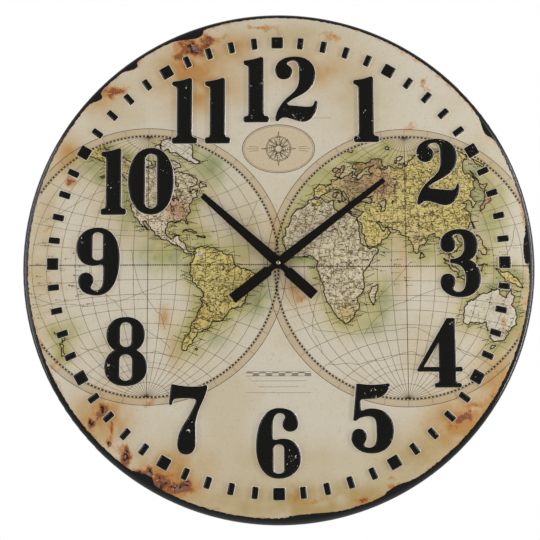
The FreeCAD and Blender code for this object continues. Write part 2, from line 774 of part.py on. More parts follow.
def numeral_faces():
    """The faces of the twelve numerals, each on its place of the ring."""
    rise = size("numeral_rise").number
    ring = numeral_ring_radius
    hours = int(size("hour_count").number)
    faces = []
    for hour in range(1, hours + 1):
        text = str(hour)
        turn = 2 * math.pi * hour / hours
        shift_x, shift_y = SHIFT_SHARES[hour]
        widths = [DIGIT_SHARES[digit][1] for digit in text]
        total = sum(widths) + PAIR_GAP_SHARES.get(text, 0)
        left = ring * math.sin(turn) + (shift_x - total / 2) * rise
        bottom = ring * math.cos(turn) + (shift_y - 0.5) * rise
        for digit, width in zip(text, widths):
            faces.append(digit_face(digit, left, bottom, rise))
            left += (width + PAIR_GAP_SHARES.get(text, 0)) * rise
    return faces


def redrawn(wire, least):
    """The same loop as lines and smooth curves through points on its edges, less its shortest edges."""
    spans = []
    for edge in wire.OrderedEdges:
        if edge.Length < least:
            continue
        straight = isinstance(edge.Curve, (Part.Line, Part.LineSegment))
        spots = edge.discretize(2 if straight else CURVE_POINTS)
        if edge.Orientation == "Reversed":
            spots.reverse()
        spans.append(spots)
    edges = []
    for i, spots in enumerate(spans):
        spots[0] = spans[i - 1][-1]
        if len(spots) == 2:
            edges.append(Part.LineSegment(*spots).toShape())
        else:
            curve = Part.BSplineCurve()
            curve.interpolate(spots)
            edges.append(curve.toShape())
    return Part.Wire(edges)


def drawn_in(face, wall):
    """The same face drawn in from all its edges by a wall."""
    least = size("numeral_rise").number * SHORTEST_SHARE
    outer = face.OuterWire
    loops = [redrawn(outer.makeOffset2D(-wall, join=0), least)]
    for wire in face.Wires:
        if not wire.isSame(outer):
            loops.append(redrawn(wire.makeOffset2D(wall, join=0), least))
    return Part.Face(loops, "Part::FaceMakerBullseye")


def relief_faces(outlines, level, rise):
    """The sides and the tops of raised or hollow places that start at a level."""
    shift = Vector(0, 0, rise)
    faces = []
    for face in outlines:
        foot = face.translated(Vector(0, 0, level))
        for wire in foot.Wires:
            faces += wire.extrude(shift).Faces
        faces.append(foot.translated(shift))
    return faces


def sheet_face(outlines, level):
    """The flat of the face at a level, open where the relief rises and at the movement's hole."""
    outer = Part.Wire(Part.makeCircle(flat_radius))
    hole = Part.Wire(Part.makeCircle(size("bushing_radius").number + size("hole_gap").number))
    wires = [outer, hole]
    for face in outlines:
        wires += face.Wires
    return Part.Face(wires, "Part::FaceMakerBullseye").translated(Vector(0, 0, level)).Faces


def make_dial_plate():
    """One pressed sheet: the pan, and the numerals and marks that stand out of it, hollow behind."""
    wall = dial_sheet.number
    rise = size("relief_rise").number
    numerals = numeral_faces()
    fronts = numerals + mark_faces(0.0)
    backs = [drawn_in(face, wall) for face in numerals] + mark_faces(wall)
    hole = Part.Wire(Part.makeCircle(size("bushing_radius").number + size("hole_gap").number))
    faces = pan_rim().Faces
    faces += sheet_face(fronts, 0.0)
    faces += sheet_face(backs, -wall)
    faces += relief_faces(fronts, 0.0, rise)
    faces += relief_faces(backs, -wall, rise)
    faces += hole.extrude(Vector(0, 0, -wall)).Faces
    shell = Part.makeShell(faces)
    shell.sewShape()
    solid = Part.makeSolid(shell)
    if solid.Volume < 0:
        solid.reverse()
    dial = document.addObject("Part::Feature", "dial_plate")
    dial.Label = "dial_plate"
    dial.Shape = solid
    stand_up(dial)


# Round rods, toothed rims and what is joined from them


def set_place(thing, x, y, z):
    thing.Placement.Base = Vector(x.number, y.number, z.number)
    for axis, value in (("x", x), ("y", y), ("z", z)):
        if value.text != "0":
            thing.setExpression("Placement.Base." + axis, value.text)


def rod(name, radius, back, front, place=CENTRE):
    """A plain round bar along the dial's axis."""
    bar = document.addObject("Part::Cylinder", name)
    bar.Radius = radius.number
    bar.setExpression("Radius", radius.text)
    bar.Height = (front - back).number
    bar.setExpression("Height", (front - back).text)
    set_place(bar, place[0], place[1], back)
    return bar


def rod_across(name, radius, left, right, height, level):
    """A plain round bar from left to right."""
    bar = document.addObject("Part::Cylinder", name)
    bar.Radius = radius.number
    bar.setExpression("Radius", radius.text)
    bar.Height = (right - left).number
    bar.setExpression("Height", (right - left).text)
    bar.Placement = Placement(Vector(0, 0, 0), Rotation(Vector(0, 1, 0), QUARTER_TURN))
    set_place(bar, left, height, level)
    return bar


def block(name, left, right, bottom, top, back, front):
    """A plain box between six faces."""
    box = document.addObject("Part::Box", name)
    for side, first, last in (("Length", left, right), ("Width", bottom, top), ("Height", back, front)):
        setattr(box, side, (last - first).number)
        box.setExpression(side, (last - first).text)
    set_place(box, left, bottom, back)
    return box


def toothed(name, teeth, radius, phase, back, front, place=CENTRE):
    """A toothed rim: slim straight-sided teeth about the pitch radius, one of them at the phase angle."""
    count = int(teeth.number)
    module = 2 * radius.number / count
    pitch = 2 * math.pi / count
    tip = radius.number + size("tooth_rise_share").number * module
    root = radius.number - size("tooth_fall_share").number * module
    flanks = [(root, -size("tooth_root_share").number), (radius.number, -size("tooth_pitch_share").number),
              (tip, -size("tooth_tip_share").number), (tip, size("tooth_tip_share").number),
              (radius.number, size("tooth_pitch_share").number), (root, size("tooth_root_share").number)]
    points = []
    for tooth in range(count):
        for reach, share in flanks:
            angle = phase + pitch * (tooth + share / 2)
            points.append(Vector(place[0].number + reach * math.cos(angle),
                                 place[1].number + reach * math.sin(angle), back.number))
    rim = document.addObject("Part::Feature", name)
    face = Part.Face(Part.makePolygon(points + points[:1]))
    rim.Shape = face.extrude(Vector(0, 0, (front - back).number))
    return rim


def put_together(label, solids, bores=(), angle=None):
    """One piece fused from solids, less its bores."""
    piece = solids[0]
    if len(solids) > 1:
        piece = document.addObject("Part::MultiFuse", label + "_joined")
        piece.Shapes = solids
    for i, hole in enumerate(bores):
        cut = document.addObject("Part::Cut", "%s_cut_%d" % (label, i))
        cut.Base = piece
        cut.Tool = hole
        piece = cut
    piece.Label = label
    stand_up(piece, angle)
    return piece


def meshed(phase, teeth, mate_teeth, place, mate_place):
    """The phase at which a mate's teeth stand between those of a wheel."""
    direction = math.atan2(mate_place[1].number - place[1].number, mate_place[0].number - place[0].number)
    turned = (phase - direction) * teeth.number / (2 * math.pi) + 0.5
    return direction + math.pi - turned * 2 * math.pi / mate_teeth.number


# How the movement is clamped to the sheet, and what it hangs by


def make_clamp():
    thread = size("bushing_radius")
    hole = thread + size("thread_gap")
    rubber = new_body("rubber_washer")
    disc(rubber, size("rubber_radius"), case_front, -dial_sheet)
    bore(rubber, hole, case_front, -dial_sheet)

    washer_front = size("washer_thickness")
    washer = new_body("brass_washer")
    disc(washer, size("washer_radius"), ZERO, washer_front)
    bore(washer, hole, ZERO, washer_front)

    nut_front = washer_front + size("nut_thickness")
    nut = new_body("hex_nut")
    corners = [across(size("nut_corner_radius"), as_size(FULL_TURN * i / NUT_SIDES)) for i in range(NUT_SIDES)]
    slab(nut, corners, washer_front, nut_front)
    bore(nut, hole, washer_front, nut_front)

    bushing = new_body("threaded_bushing")
    bushing_front = size("bushing_front")
    flange_back = case_floor - size("bushing_flange")
    tube_hole = size("hour_tube_radius") + wide_running_gap
    disc(bushing, size("bushing_flange_radius"), flange_back, case_floor)
    disc(bushing, thread, flange_back, bushing_front)
    bore(bushing, tube_hole, flange_back, bushing_front)


def make_hanger():
    """A hat-shaped strap: two feet on the sheet's back, two legs, and a plate with the keyhole."""
    half = size("hanger_length") / 2
    strap = size("hanger_sheet")
    screw_height = size("hanger_above_centre")
    head_height = screw_height - size("keyhole_drop")
    margin = size("hanger_margin")
    bottom = head_height - size("screw_head_radius") - margin / 2
    top = screw_height + margin
    back = size("hanger_wall_gap") - dial_depth
    plate_front = back + strap
    sheet_back = -dial_sheet
    foot_reach = half + size("hanger_foot")
    bracket = new_body("hanger_bracket")
    slab(bracket, corners_of(-half, half, bottom, top), back, plate_front)
    slab(bracket, corners_of(-half, strap - half, bottom, top), back, sheet_back)
    slab(bracket, corners_of(half - strap, half, bottom, top), back, sheet_back)
    slab(bracket, corners_of(-foot_reach, strap - half, bottom, top), sheet_back - strap, sheet_back)
    slab(bracket, corners_of(half - strap, foot_reach, bottom, top), sheet_back - strap, sheet_back)
    shank = size("screw_shank_radius")
    bore(bracket, size("screw_head_radius"), back, plate_front, (ZERO, head_height))
    bore(bracket, shank, back, plate_front, (ZERO, screw_height))
    recess(bracket, corners_of(-shank, shank, head_height, screw_height), back, plate_front)


# The movement's case and plates


def make_front_case():
    case = new_body("front_case")
    wall_foot = bay_top + end_gap
    slab(case, corners_of(-case_half, case_half, -case_half, case_half), case_floor, case_front)
    slab(case, corners_of(-case_half, -case_inside, wall_foot, case_half), case_split, case_floor)
    slab(case, corners_of(case_inside, case_half, wall_foot, case_half), case_split, case_floor)
    slab(case, corners_of(-case_half, case_half, case_inside, case_half), case_split, case_floor)
    for place in ((size("post_left"), size("post_low")), (size("post_left"), size("post_high")),
                  (size("post_right"), size("post_high"))):
        disc(case, size("post_radius"), middle_front, case_floor, place)
    bore(case, size("bushing_radius") + size("thread_gap"), case_floor, case_front)
    pivot_top = case_floor + size("pivot_depth")
    bore(case, size("heavy_arbor_radius") + running_gap, case_floor, pivot_top, motion_place)
    bore(case, size("knob_pivot_radius") + running_gap, case_floor, pivot_top, setting_place)


def make_rear_case():
    """The back cover, with the open bay of the battery below the wheels."""
    case = new_body("rear_case")
    wall_front = case_split - end_gap
    slab(case, corners_of(-case_half, case_half, -case_half, case_half), case_back, case_back_inside)
    slab(case, corners_of(-case_half, -case_inside, bay_top, case_half), case_back_inside, wall_front)
    slab(case, corners_of(case_inside, case_half, bay_top, case_half), case_back_inside, wall_front)
    slab(case, corners_of(-case_half, case_half, case_inside, case_half), case_back_inside, wall_front)
    slab(case, corners_of(-case_half, case_half, -case_half, bay_top), case_back_inside, bay_front)
    bay_roof = bay_top - case_wall
    recess(case, corners_of(-case_inside, case_inside, -case_inside, bay_roof), case_back, bay_floor)
    bore(case, size("knob_shaft_radius") + wide_running_gap, case_back, case_back_inside, setting_place)


def make_plates():
    small_hole = size("arbor_radius") + running_gap
    middle = new_body("middle_plate")
    side = case_inside - size("plate_margin")
    bottom = bay_top + size("plate_margin") + end_gap
    slab(middle, corners_of(-side, side, bottom, side), middle_back, middle_front)
    for place in ((size("train_post_left"), size("train_post_low")),
                  (size("train_post_right"), size("train_post_low")),
                  (size("train_post_side"), size("train_post_side_rise")),
                  (size("train_post_corner"), size("train_post_top"))):
        disc(middle, size("train_post_radius"), train_front, middle_back, place)
    inset = size("board_post_inset")
    board_level = -size("board_front")
    for place in ((size("board_left") + inset, size("board_top") - inset),
                  (size("board_right") - inset, size("board_top") - inset),
                  (size("board_left") + inset, size("board_bottom") + inset)):
        disc(middle, size("board_post_radius"), board_level, middle_back, place)
    bore(middle, size("minute_arbor_radius") + wide_running_gap, middle_back, middle_front)
    bore(middle, size("heavy_arbor_radius") + running_gap, middle_back, middle_front, motion_place)
    bore(middle, size("knob_shaft_radius") + wide_running_gap, middle_back, middle_front, setting_place)
    for place in (third_place, fifth_place, rotor_place):
        bore(middle, small_hole, middle_back, middle_front, place)

    train = new_body("train_plate")
    slab(train, corners_of(-size("train_plate_left"), size("train_plate_right"), -size("train_plate_bottom"),
                           size("train_plate_top")), train_back, train_front)
    stator_back = -size("stator_front") - size("stator_thickness")
    for place in ((size("stator_post_left"), size("stator_post_low")),
                  (size("stator_post_right"), size("stator_post_high"))):
        disc(train, size("train_post_radius"), train_front, stator_back, place)
    for place in (CENTRE, third_place, fifth_place, rotor_place):
        bore(train, small_hole, train_back, train_front, place)


# The motion work: hour wheel, minute arbor, minute wheel and setting knob

minute_arbor_back = (-size("centre_wheel_level") - wheel_thickness - size("clutch_gap")
                     - size("clutch_thickness") - size("collar_thickness"))
minute_bore_front = minute_arbor_back + size("pivot_cover")
cannon_phase = math.radians(size("motion_angle").number)
minute_wheel_phase = meshed(cannon_phase, size("cannon_teeth"), size("minute_wheel_teeth"),
                            CENTRE, motion_place)
hour_phase = meshed(0.0, size("minute_pinion_teeth"), size("hour_teeth"), motion_place, CENTRE)
setting_phase = meshed(minute_wheel_phase, size("minute_wheel_teeth"), size("setting_teeth"),
                       motion_place, setting_place)
pivot_front = case_floor + size("pivot_depth") - end_gap


def make_motion_work():
    tube = size("hour_tube_radius")
    arbor = size("minute_arbor_radius")
    put_together("hour_wheel", [
        toothed("hour_rim", size("hour_teeth"), hour_wheel_radius, hour_phase,
                hour_wheel_back, hour_wheel_front),
        rod("hour_tube", tube, hour_wheel_back, hour_hand_front),
    ], [rod("hour_tube_bore", arbor + wide_running_gap, hour_wheel_back, hour_hand_front)])

    collar_front = minute_arbor_back + size("collar_thickness")
    put_together("minute_arbor", [
        rod("minute_bar", arbor, minute_arbor_back, minute_hand_front),
        rod("minute_thread", size("minute_arbor_thread_radius"), minute_hand_front,
            minute_hand_front + size("cap_nut_rise") - size("cap_nut_wall") - end_gap),
        rod("minute_collar", size("collar_radius"), minute_arbor_back, collar_front),
        toothed("cannon_pinion", size("cannon_teeth"), cannon_radius, cannon_phase,
                minute_wheel_back - pinion_margin, minute_wheel_front + pinion_margin),
    ], [rod("minute_bore", size("arbor_radius") + running_gap, minute_arbor_back, minute_bore_front)])

    heavy = size("heavy_arbor_radius")
    put_together("minute_wheel", [
        rod("minute_wheel_arbor", heavy, middle_back + end_gap, pivot_front, motion_place),
        toothed("minute_wheel_rim", size("minute_wheel_teeth"), minute_wheel_radius, minute_wheel_phase,
                minute_wheel_back, minute_wheel_front, motion_place),
        toothed("minute_pinion", size("minute_pinion_teeth"), minute_pinion_radius, 0.0,
                minute_wheel_front, hour_wheel_front + pinion_margin, motion_place),
    ])


def make_setting_knob():
    """The knob behind the case, with its shaft, its pinion and its front pivot."""
    knob_front = case_back - size("knob_stand_off")
    knob_back = knob_front - size("knob_thickness")
    turned = document.addObject("PartDesign::Body", "knob_turned")
    disc(turned, size("knob_radius"), knob_back, knob_front)
    grip = bore(turned, size("knob_grip_radius"), knob_back, knob_front, (size("knob_radius"), ZERO))
    repeat_round(turned, grip, size("knob_grip_count"))
    turned.Tip = turned.Group[-1]
    set_place(turned, setting_place[0], setting_place[1], ZERO)
    put_together("setting_knob", [
        turned,
        rod("knob_shaft", size("knob_shaft_radius"), knob_back, minute_wheel_back, setting_place),
        rod("knob_pivot", size("knob_pivot_radius"), minute_wheel_back, pivot_front, setting_place),
        toothed("setting_pinion", size("setting_teeth"), setting_radius, setting_phase,
                minute_wheel_back, minute_wheel_front, setting_place),
    ])


# The train: clutch, centre wheel, third, fourth and fifth wheels, and the rotor

centre_wheel_front = -size("centre_wheel_level")
centre_wheel_back = centre_wheel_front - wheel_thickness
third_wheel_front = -size("third_wheel_level")
fourth_wheel_front = -size("fourth_wheel_level")
fifth_wheel_front = -size("fifth_wheel_level")
rotor_phase = 0.0
fifth_phase = meshed(rotor_phase, size("rotor_pinion_teeth"), size("fifth_teeth"), rotor_place, fifth_place)
fourth_phase = meshed(0.0, size("fifth_pinion_teeth"), size("fourth_teeth"), fifth_place, CENTRE)
third_phase = meshed(0.0, size("fourth_pinion_teeth"), size("third_teeth"), CENTRE, third_place)
centre_phase = meshed(0.0, size("third_pinion_teeth"), size("centre_teeth"), third_place, CENTRE)


def train_arbor(name, place, front):
    return rod(name, size("arbor_radius"), train_back + end_gap, front, place)


def pinion_beside(name, teeth, radius, wheel_front, place):
    """A pinion that reaches a little past the wheel that it drives, on both sides."""
    return toothed(name, teeth, radius, 0.0, wheel_front - wheel_thickness - pinion_margin,
                   wheel_front + pinion_margin, place)


def wheel_rim(name, teeth, radius, phase, front, place):
    return toothed(name, teeth, radius, phase, front - wheel_thickness, front, place)


def make_train():
    arbor_front = middle_front - end_gap
    arbor_hole = size("minute_arbor_radius")
    spring_front = centre_wheel_back - size("clutch_gap")
    spring = new_body("clutch_spring")
    disc(spring, size("clutch_radius"), spring_front - size("clutch_thickness"), spring_front)
    bore(spring, arbor_hole + size("hand_seat_gap"), spring_front - size("clutch_thickness"), spring_front)

    put_together("centre_wheel", [
        wheel_rim("centre_rim", size("centre_teeth"), centre_wheel_radius, centre_phase,
                  centre_wheel_front, CENTRE),
    ], [rod("centre_wheel_bore", arbor_hole + wide_running_gap, centre_wheel_back, centre_wheel_front)])

    put_together("third_wheel", [
        train_arbor("third_arbor", third_place, arbor_front),
        wheel_rim("third_rim", size("third_teeth"), third_wheel_radius, third_phase,
                  third_wheel_front, third_place),
        pinion_beside("third_pinion", size("third_pinion_teeth"), third_pinion_radius,
                      centre_wheel_front, third_place),
    ])
    put_together("fourth_wheel", [
        train_arbor("fourth_arbor", CENTRE, minute_bore_front - end_gap),
        wheel_rim("fourth_rim", size("fourth_teeth"), fourth_wheel_radius, fourth_phase,
                  fourth_wheel_front, CENTRE),
        pinion_beside("fourth_pinion", size("fourth_pinion_teeth"), fourth_pinion_radius,
                      third_wheel_front, CENTRE),
    ])
    put_together("fifth_wheel", [
        train_arbor("fifth_arbor", fifth_place, arbor_front),
        wheel_rim("fifth_rim", size("fifth_teeth"), fifth_wheel_radius, fifth_phase,
                  fifth_wheel_front, fifth_place),
        pinion_beside("fifth_pinion", size("fifth_pinion_teeth"), fifth_pinion_radius,
                      fourth_wheel_front, fifth_place),
    ])
    put_together("rotor_pinion", [
        train_arbor("rotor_arbor", rotor_place, arbor_front),
        pinion_beside("rotor_teeth", size("rotor_pinion_teeth"), rotor_pinion_radius,
                      fifth_wheel_front, rotor_place),
    ])
    magnet = new_body("rotor_magnet")
    magnet_front = -size("magnet_front")
    magnet_back = magnet_front - size("magnet_length")
    disc(magnet, size("magnet_radius"), magnet_back, magnet_front, rotor_place)
    bore(magnet, size("arbor_radius") + size("hand_seat_gap"), magnet_back, magnet_front, rotor_place)


# The stepping motor and its circuit


def make_motor():
    left = size("stator_left")
    right = size("stator_right")
    arm = size("stator_arm")
    half = size("stator_bar_half")
    front = -size("stator_front")
    back = front - size("stator_thickness")
    height = size("coil_height")
    stator = new_body("stator")
    slab(stator, corners_of(left, right, rotor_place[1] - half, rotor_place[1] + half), back, front)
    slab(stator, corners_of(left, left + arm, rotor_place[1], size("stator_top")), back, front)
    slab(stator, corners_of(right - arm, right, rotor_place[1], size("stator_top")), back, front)
    bore(stator, size("stator_hole_radius"), back, front, rotor_place)
    bore(stator, size("arbor_radius") + size("stator_arbor_gap"), back, front, fifth_place)

    core_half = size("core_width") / 2
    core_front = front + size("core_thickness")
    core = new_body("coil_core")
    slab(core, corners_of(left, right, height - core_half, height + core_half), front, core_front)

    gap = size("bobbin_gap")
    level = front + size("core_thickness") / 2
    end = size("bobbin_end")
    bobbin_left = left + arm + gap
    bobbin_right = right - arm - gap
    barrel = size("bobbin_barrel_radius")
    put_together("coil_bobbin", [
        rod_across("bobbin_barrel", barrel, bobbin_left, bobbin_right, height, level),
        rod_across("bobbin_left_end", size("bobbin_radius"), bobbin_left, bobbin_left + end,
                   height, level),
        rod_across("bobbin_right_end", size("bobbin_radius"), bobbin_right - end, bobbin_right,
                   height, level),
    ], [block("bobbin_slot", bobbin_left, bobbin_right, height - core_half - gap, height + core_half + gap,
              front - gap, core_front + gap)])
    winding_left = bobbin_left + end + gap
    winding_right = bobbin_right - end - gap
    put_together("coil_winding", [
        rod_across("winding_outside", size("winding_radius"), winding_left, winding_right, height, level),
    ], [rod_across("winding_inside", barrel + gap, winding_left, winding_right, height, level)])


def make_circuit():
    front = -size("board_front")
    back = front - size("board_thickness")
    left = size("board_left")
    bottom = size("board_bottom")
    board = new_body("circuit_board")
    slab(board, corners_of(left, size("board_right"), bottom, size("board_top")), back, front)

    chip = new_body("chip_cover")
    place = (left + size("chip_across_board"), bottom + size("chip_up_board"))
    disc(chip, size("chip_radius"), back - size("chip_height"), back, place)

    crystal_level = back - size("crystal_radius") - size("contact_seat_gap")
    crystal = document.addObject("Part::Cylinder", "quartz_can")
    crystal.Radius = size("crystal_radius").number
    crystal.setExpression("Radius", "sizes.crystal_radius")
    crystal.Height = size("crystal_length").number
    crystal.setExpression("Height", "sizes.crystal_length")
    crystal.Placement = Placement(Vector(0, 0, 0), Rotation(Vector(1, 0, 0), -QUARTER_TURN))
    across_board = left + size("crystal_across_board")
    up_board = bottom + size("crystal_up_board")
    half = size("crystal_radius")
    set_place(crystal, across_board, up_board, crystal_level)
    foot = block("quartz_foot", across_board - half, across_board + half,
                 up_board - size("contact_sheet"), up_board, crystal_level - half, back)
    put_together("quartz_crystal", [crystal, foot])


# The battery and its contacts


def make_battery():
    plate_face = case_inside - size("contact_seat_gap") - size("contact_sheet")
    nub_end = plate_face - size("battery_gap")
    flat_end = nub_end - size("battery_length")
    can_end = nub_end - size("battery_nub")
    radius = size("battery_radius")
    can_radius = radius - size("battery_sleeve")
    put_together("battery_cell", [
        rod_across("battery_can", can_radius, flat_end, can_end, battery_height, battery_level),
        rod_across("battery_nub", size("battery_nub_radius"), can_end, nub_end,
                   battery_height, battery_level),
    ])
    margin = size("battery_sleeve_margin")
    seat = size("hand_seat_gap")
    put_together("battery_sleeve", [
        rod_across("sleeve_outside", radius, flat_end + margin, can_end - margin,
                   battery_height, battery_level),
    ], [rod_across("sleeve_inside", can_radius + seat, flat_end + margin, can_end - margin,
                   battery_height, battery_level)])

    half = size("contact_width") / 2
    rise = size("contact_rise") / 2
    bottom = battery_height - half
    top = battery_height + half
    positive = new_body("battery_contact_positive")
    slab(positive, corners_of(plate_face, plate_face + size("contact_sheet"), bottom, top),
         battery_level - rise, battery_level + rise)

    spring_end = flat_end - size("battery_gap")
    plate = block("negative_plate", -plate_face - size("contact_sheet"), -plate_face, bottom, top,
                  battery_level - rise, battery_level + rise)
    bow = document.addObject("Part::Cone", "negative_spring")
    bow.Radius1 = half.number
    bow.setExpression("Radius1", half.text)
    bow.Radius2 = size("battery_nub_radius").number
    bow.setExpression("Radius2", "sizes.battery_nub_radius")
    bow.Height = (spring_end + plate_face).number
    bow.setExpression("Height", (spring_end + plate_face).text)
    bow.Placement = Placement(Vector(0, 0, 0), Rotation(Vector(0, 1, 0), QUARTER_TURN))
    set_place(bow, -plate_face, battery_height, battery_level)
    put_together("battery_contact_negative", [plate, bow])


# The hands and their nut


def hand_corners(root, tip, reach, tail):
    """A hand that points up: tapered blade, narrow neck behind the hub, and a broad tail."""
    neck = size("hand_neck_half")
    broad = size("hand_tail_half")
    root_reach = size("hand_root_reach")
    neck_reach = size("hand_neck_reach")
    shoulder = size("hand_shoulder_reach")
    right = [(tip, reach), (root, root_reach), (root, ZERO), (neck, ZERO), (neck, -neck_reach),
             (broad, -shoulder), (broad, -tail)]
    left = [(-x, y) for x, y in reversed(right)]
    return right + left


def make_hand(label, hole_radius):
    """A flat hand on its hub, turned clockwise to the angle that the sheet gives."""
    back = size(label + "_level")
    front = back + size("hand_sheet")
    hand = new_body(label, size(label + "_angle"))
    corners = hand_corners(size(label + "_root_half"), size(label + "_tip_half"), size(label + "_reach"),
                           size(label + "_tail"))
    slab(hand, corners, back, front)
    disc(hand, size("hand_hub_radius"), back, front)
    bore(hand, hole_radius + size("hand_seat_gap"), back, front)


def make_cap_nut():
    radius = size("cap_nut_radius")
    back = minute_hand_front + end_gap
    front = minute_hand_front + size("cap_nut_rise")
    dome = document.addObject("Part::Sphere", "cap_dome")
    dome.Radius = radius.number
    dome.setExpression("Radius", radius.text)
    dome.Angle1 = 0
    set_place(dome, ZERO, ZERO, front - radius)
    put_together("cap_nut", [rod("cap_skirt", radius, back, front - radius), dome],
           [rod("cap_hole", size("minute_arbor_thread_radius") + size("hand_seat_gap"), back - radius,
                front - size("cap_nut_wall"))])


make_dial_plate()
make_clamp()
make_hanger()
make_front_case()
make_rear_case()
make_plates()
make_motion_work()
make_setting_knob()
make_train()
make_motor()
make_circuit()
make_battery()
make_hand("hour_hand", size("hour_tube_radius"))
make_hand("minute_hand", size("minute_arbor_radius"))
make_cap_nut()
document.recompute()

faults = []
for thing in document.Objects:
    if "Invalid" in thing.State or "Error" in thing.State:
        faults.append("%s is %s" % (thing.Name, ", ".join(thing.State)))
for piece in PIECES:
    if piece.Shape.isNull() or not piece.Shape.isValid() or not piece.Shape.Solids:
        faults.append("%s has no valid solid" % piece.Label)
if faults:
    raise RuntimeError("; ".join(faults))

os.makedirs("parts", exist_ok=True)
for piece in PIECES:
    piece.Shape.exportStep("parts/" + piece.Label + ".step")
    print(piece.Label, len(piece.Shape.Solids), "solid, volume", round(piece.Shape.Volume, 1))
print(len(PIECES), "pieces")
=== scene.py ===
import json
import math
import random

import bmesh
import bpy
import numpy as np
from mathutils import Matrix, Vector, kdtree

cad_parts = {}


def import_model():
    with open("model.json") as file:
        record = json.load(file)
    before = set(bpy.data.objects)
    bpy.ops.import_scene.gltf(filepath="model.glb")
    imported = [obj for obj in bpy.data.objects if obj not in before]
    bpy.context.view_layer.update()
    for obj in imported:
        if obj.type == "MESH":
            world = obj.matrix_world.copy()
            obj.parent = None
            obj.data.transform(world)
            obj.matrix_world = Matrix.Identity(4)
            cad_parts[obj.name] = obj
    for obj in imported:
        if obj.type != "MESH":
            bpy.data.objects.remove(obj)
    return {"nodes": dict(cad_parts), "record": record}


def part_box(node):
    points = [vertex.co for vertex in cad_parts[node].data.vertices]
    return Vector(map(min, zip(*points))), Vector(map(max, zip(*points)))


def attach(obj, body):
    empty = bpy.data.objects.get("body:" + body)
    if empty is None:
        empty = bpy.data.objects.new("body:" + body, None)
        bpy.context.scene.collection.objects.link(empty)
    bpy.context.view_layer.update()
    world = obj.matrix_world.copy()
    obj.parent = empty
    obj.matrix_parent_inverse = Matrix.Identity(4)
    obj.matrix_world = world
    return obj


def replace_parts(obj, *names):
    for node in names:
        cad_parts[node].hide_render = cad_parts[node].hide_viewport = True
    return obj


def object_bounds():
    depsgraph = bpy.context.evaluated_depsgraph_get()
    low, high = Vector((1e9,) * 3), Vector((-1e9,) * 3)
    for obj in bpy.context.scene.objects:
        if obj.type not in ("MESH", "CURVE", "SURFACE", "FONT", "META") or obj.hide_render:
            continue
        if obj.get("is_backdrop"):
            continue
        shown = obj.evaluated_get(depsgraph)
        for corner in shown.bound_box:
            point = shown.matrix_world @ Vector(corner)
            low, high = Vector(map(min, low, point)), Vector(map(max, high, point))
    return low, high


# A hanging wall clock: an old map print on a pressed steel dial, black enamel numerals and flat hands.
# Drawing is done in the dial's own plane in millimetres, x to the right and y up from the dial's centre.
# The lift is the height over the flat of the face, towards the viewer.

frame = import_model()
cad_low, cad_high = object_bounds()

MM = 0.001
RELIEF_RISE = 1.8
EDGE_ROUND = 8.0
SHEET = 0.7
dial_low, dial_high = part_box("dial_plate")
DIAL_X = (dial_low[0] + dial_high[0]) / 2 / MM
DIAL_Z = (dial_low[2] + dial_high[2]) / 2 / MM
DIAL_RADIUS = (dial_high[0] - dial_low[0]) / 2 / MM
FACE_Y = dial_low[1] / MM + RELIEF_RISE
FLAT_RADIUS = DIAL_RADIUS - EDGE_ROUND

# The print's parts, in millimetres

PRINT_LIFT = 0.04
INK_LIFT = 0.09
PRINT_RADIUS = 281.9
PRINT_RAISED = 1.5
GLOBE_RADIUS = 147.0
BAND_RADIUS = 156.0
GLOBE_DASHES = 216
GLOBES = {"west": (-146.8, -1.4, -110.0), "east": (143.6, -4.0, 70.0)}
CARTOUCHE = (0.9, 130.6, 41.0, 27.7)


def world(x, y, lift):
    """Places in the scene, in metres, of points of the dial's plane."""
    x = np.asarray(x, float)
    return np.stack([x + DIAL_X, FACE_Y - lift + 0 * x, np.asarray(y, float) + DIAL_Z], -1) * MM


def srgb(red, green, blue):
    """A colour as the eye's 0 to 255 values, turned into the linear values that shaders take."""
    return tuple(((c / 255 + 0.055) / 1.055) ** 2.4 if c > 10 else c / 3294.6 for c in (red, green, blue))


# Node materials


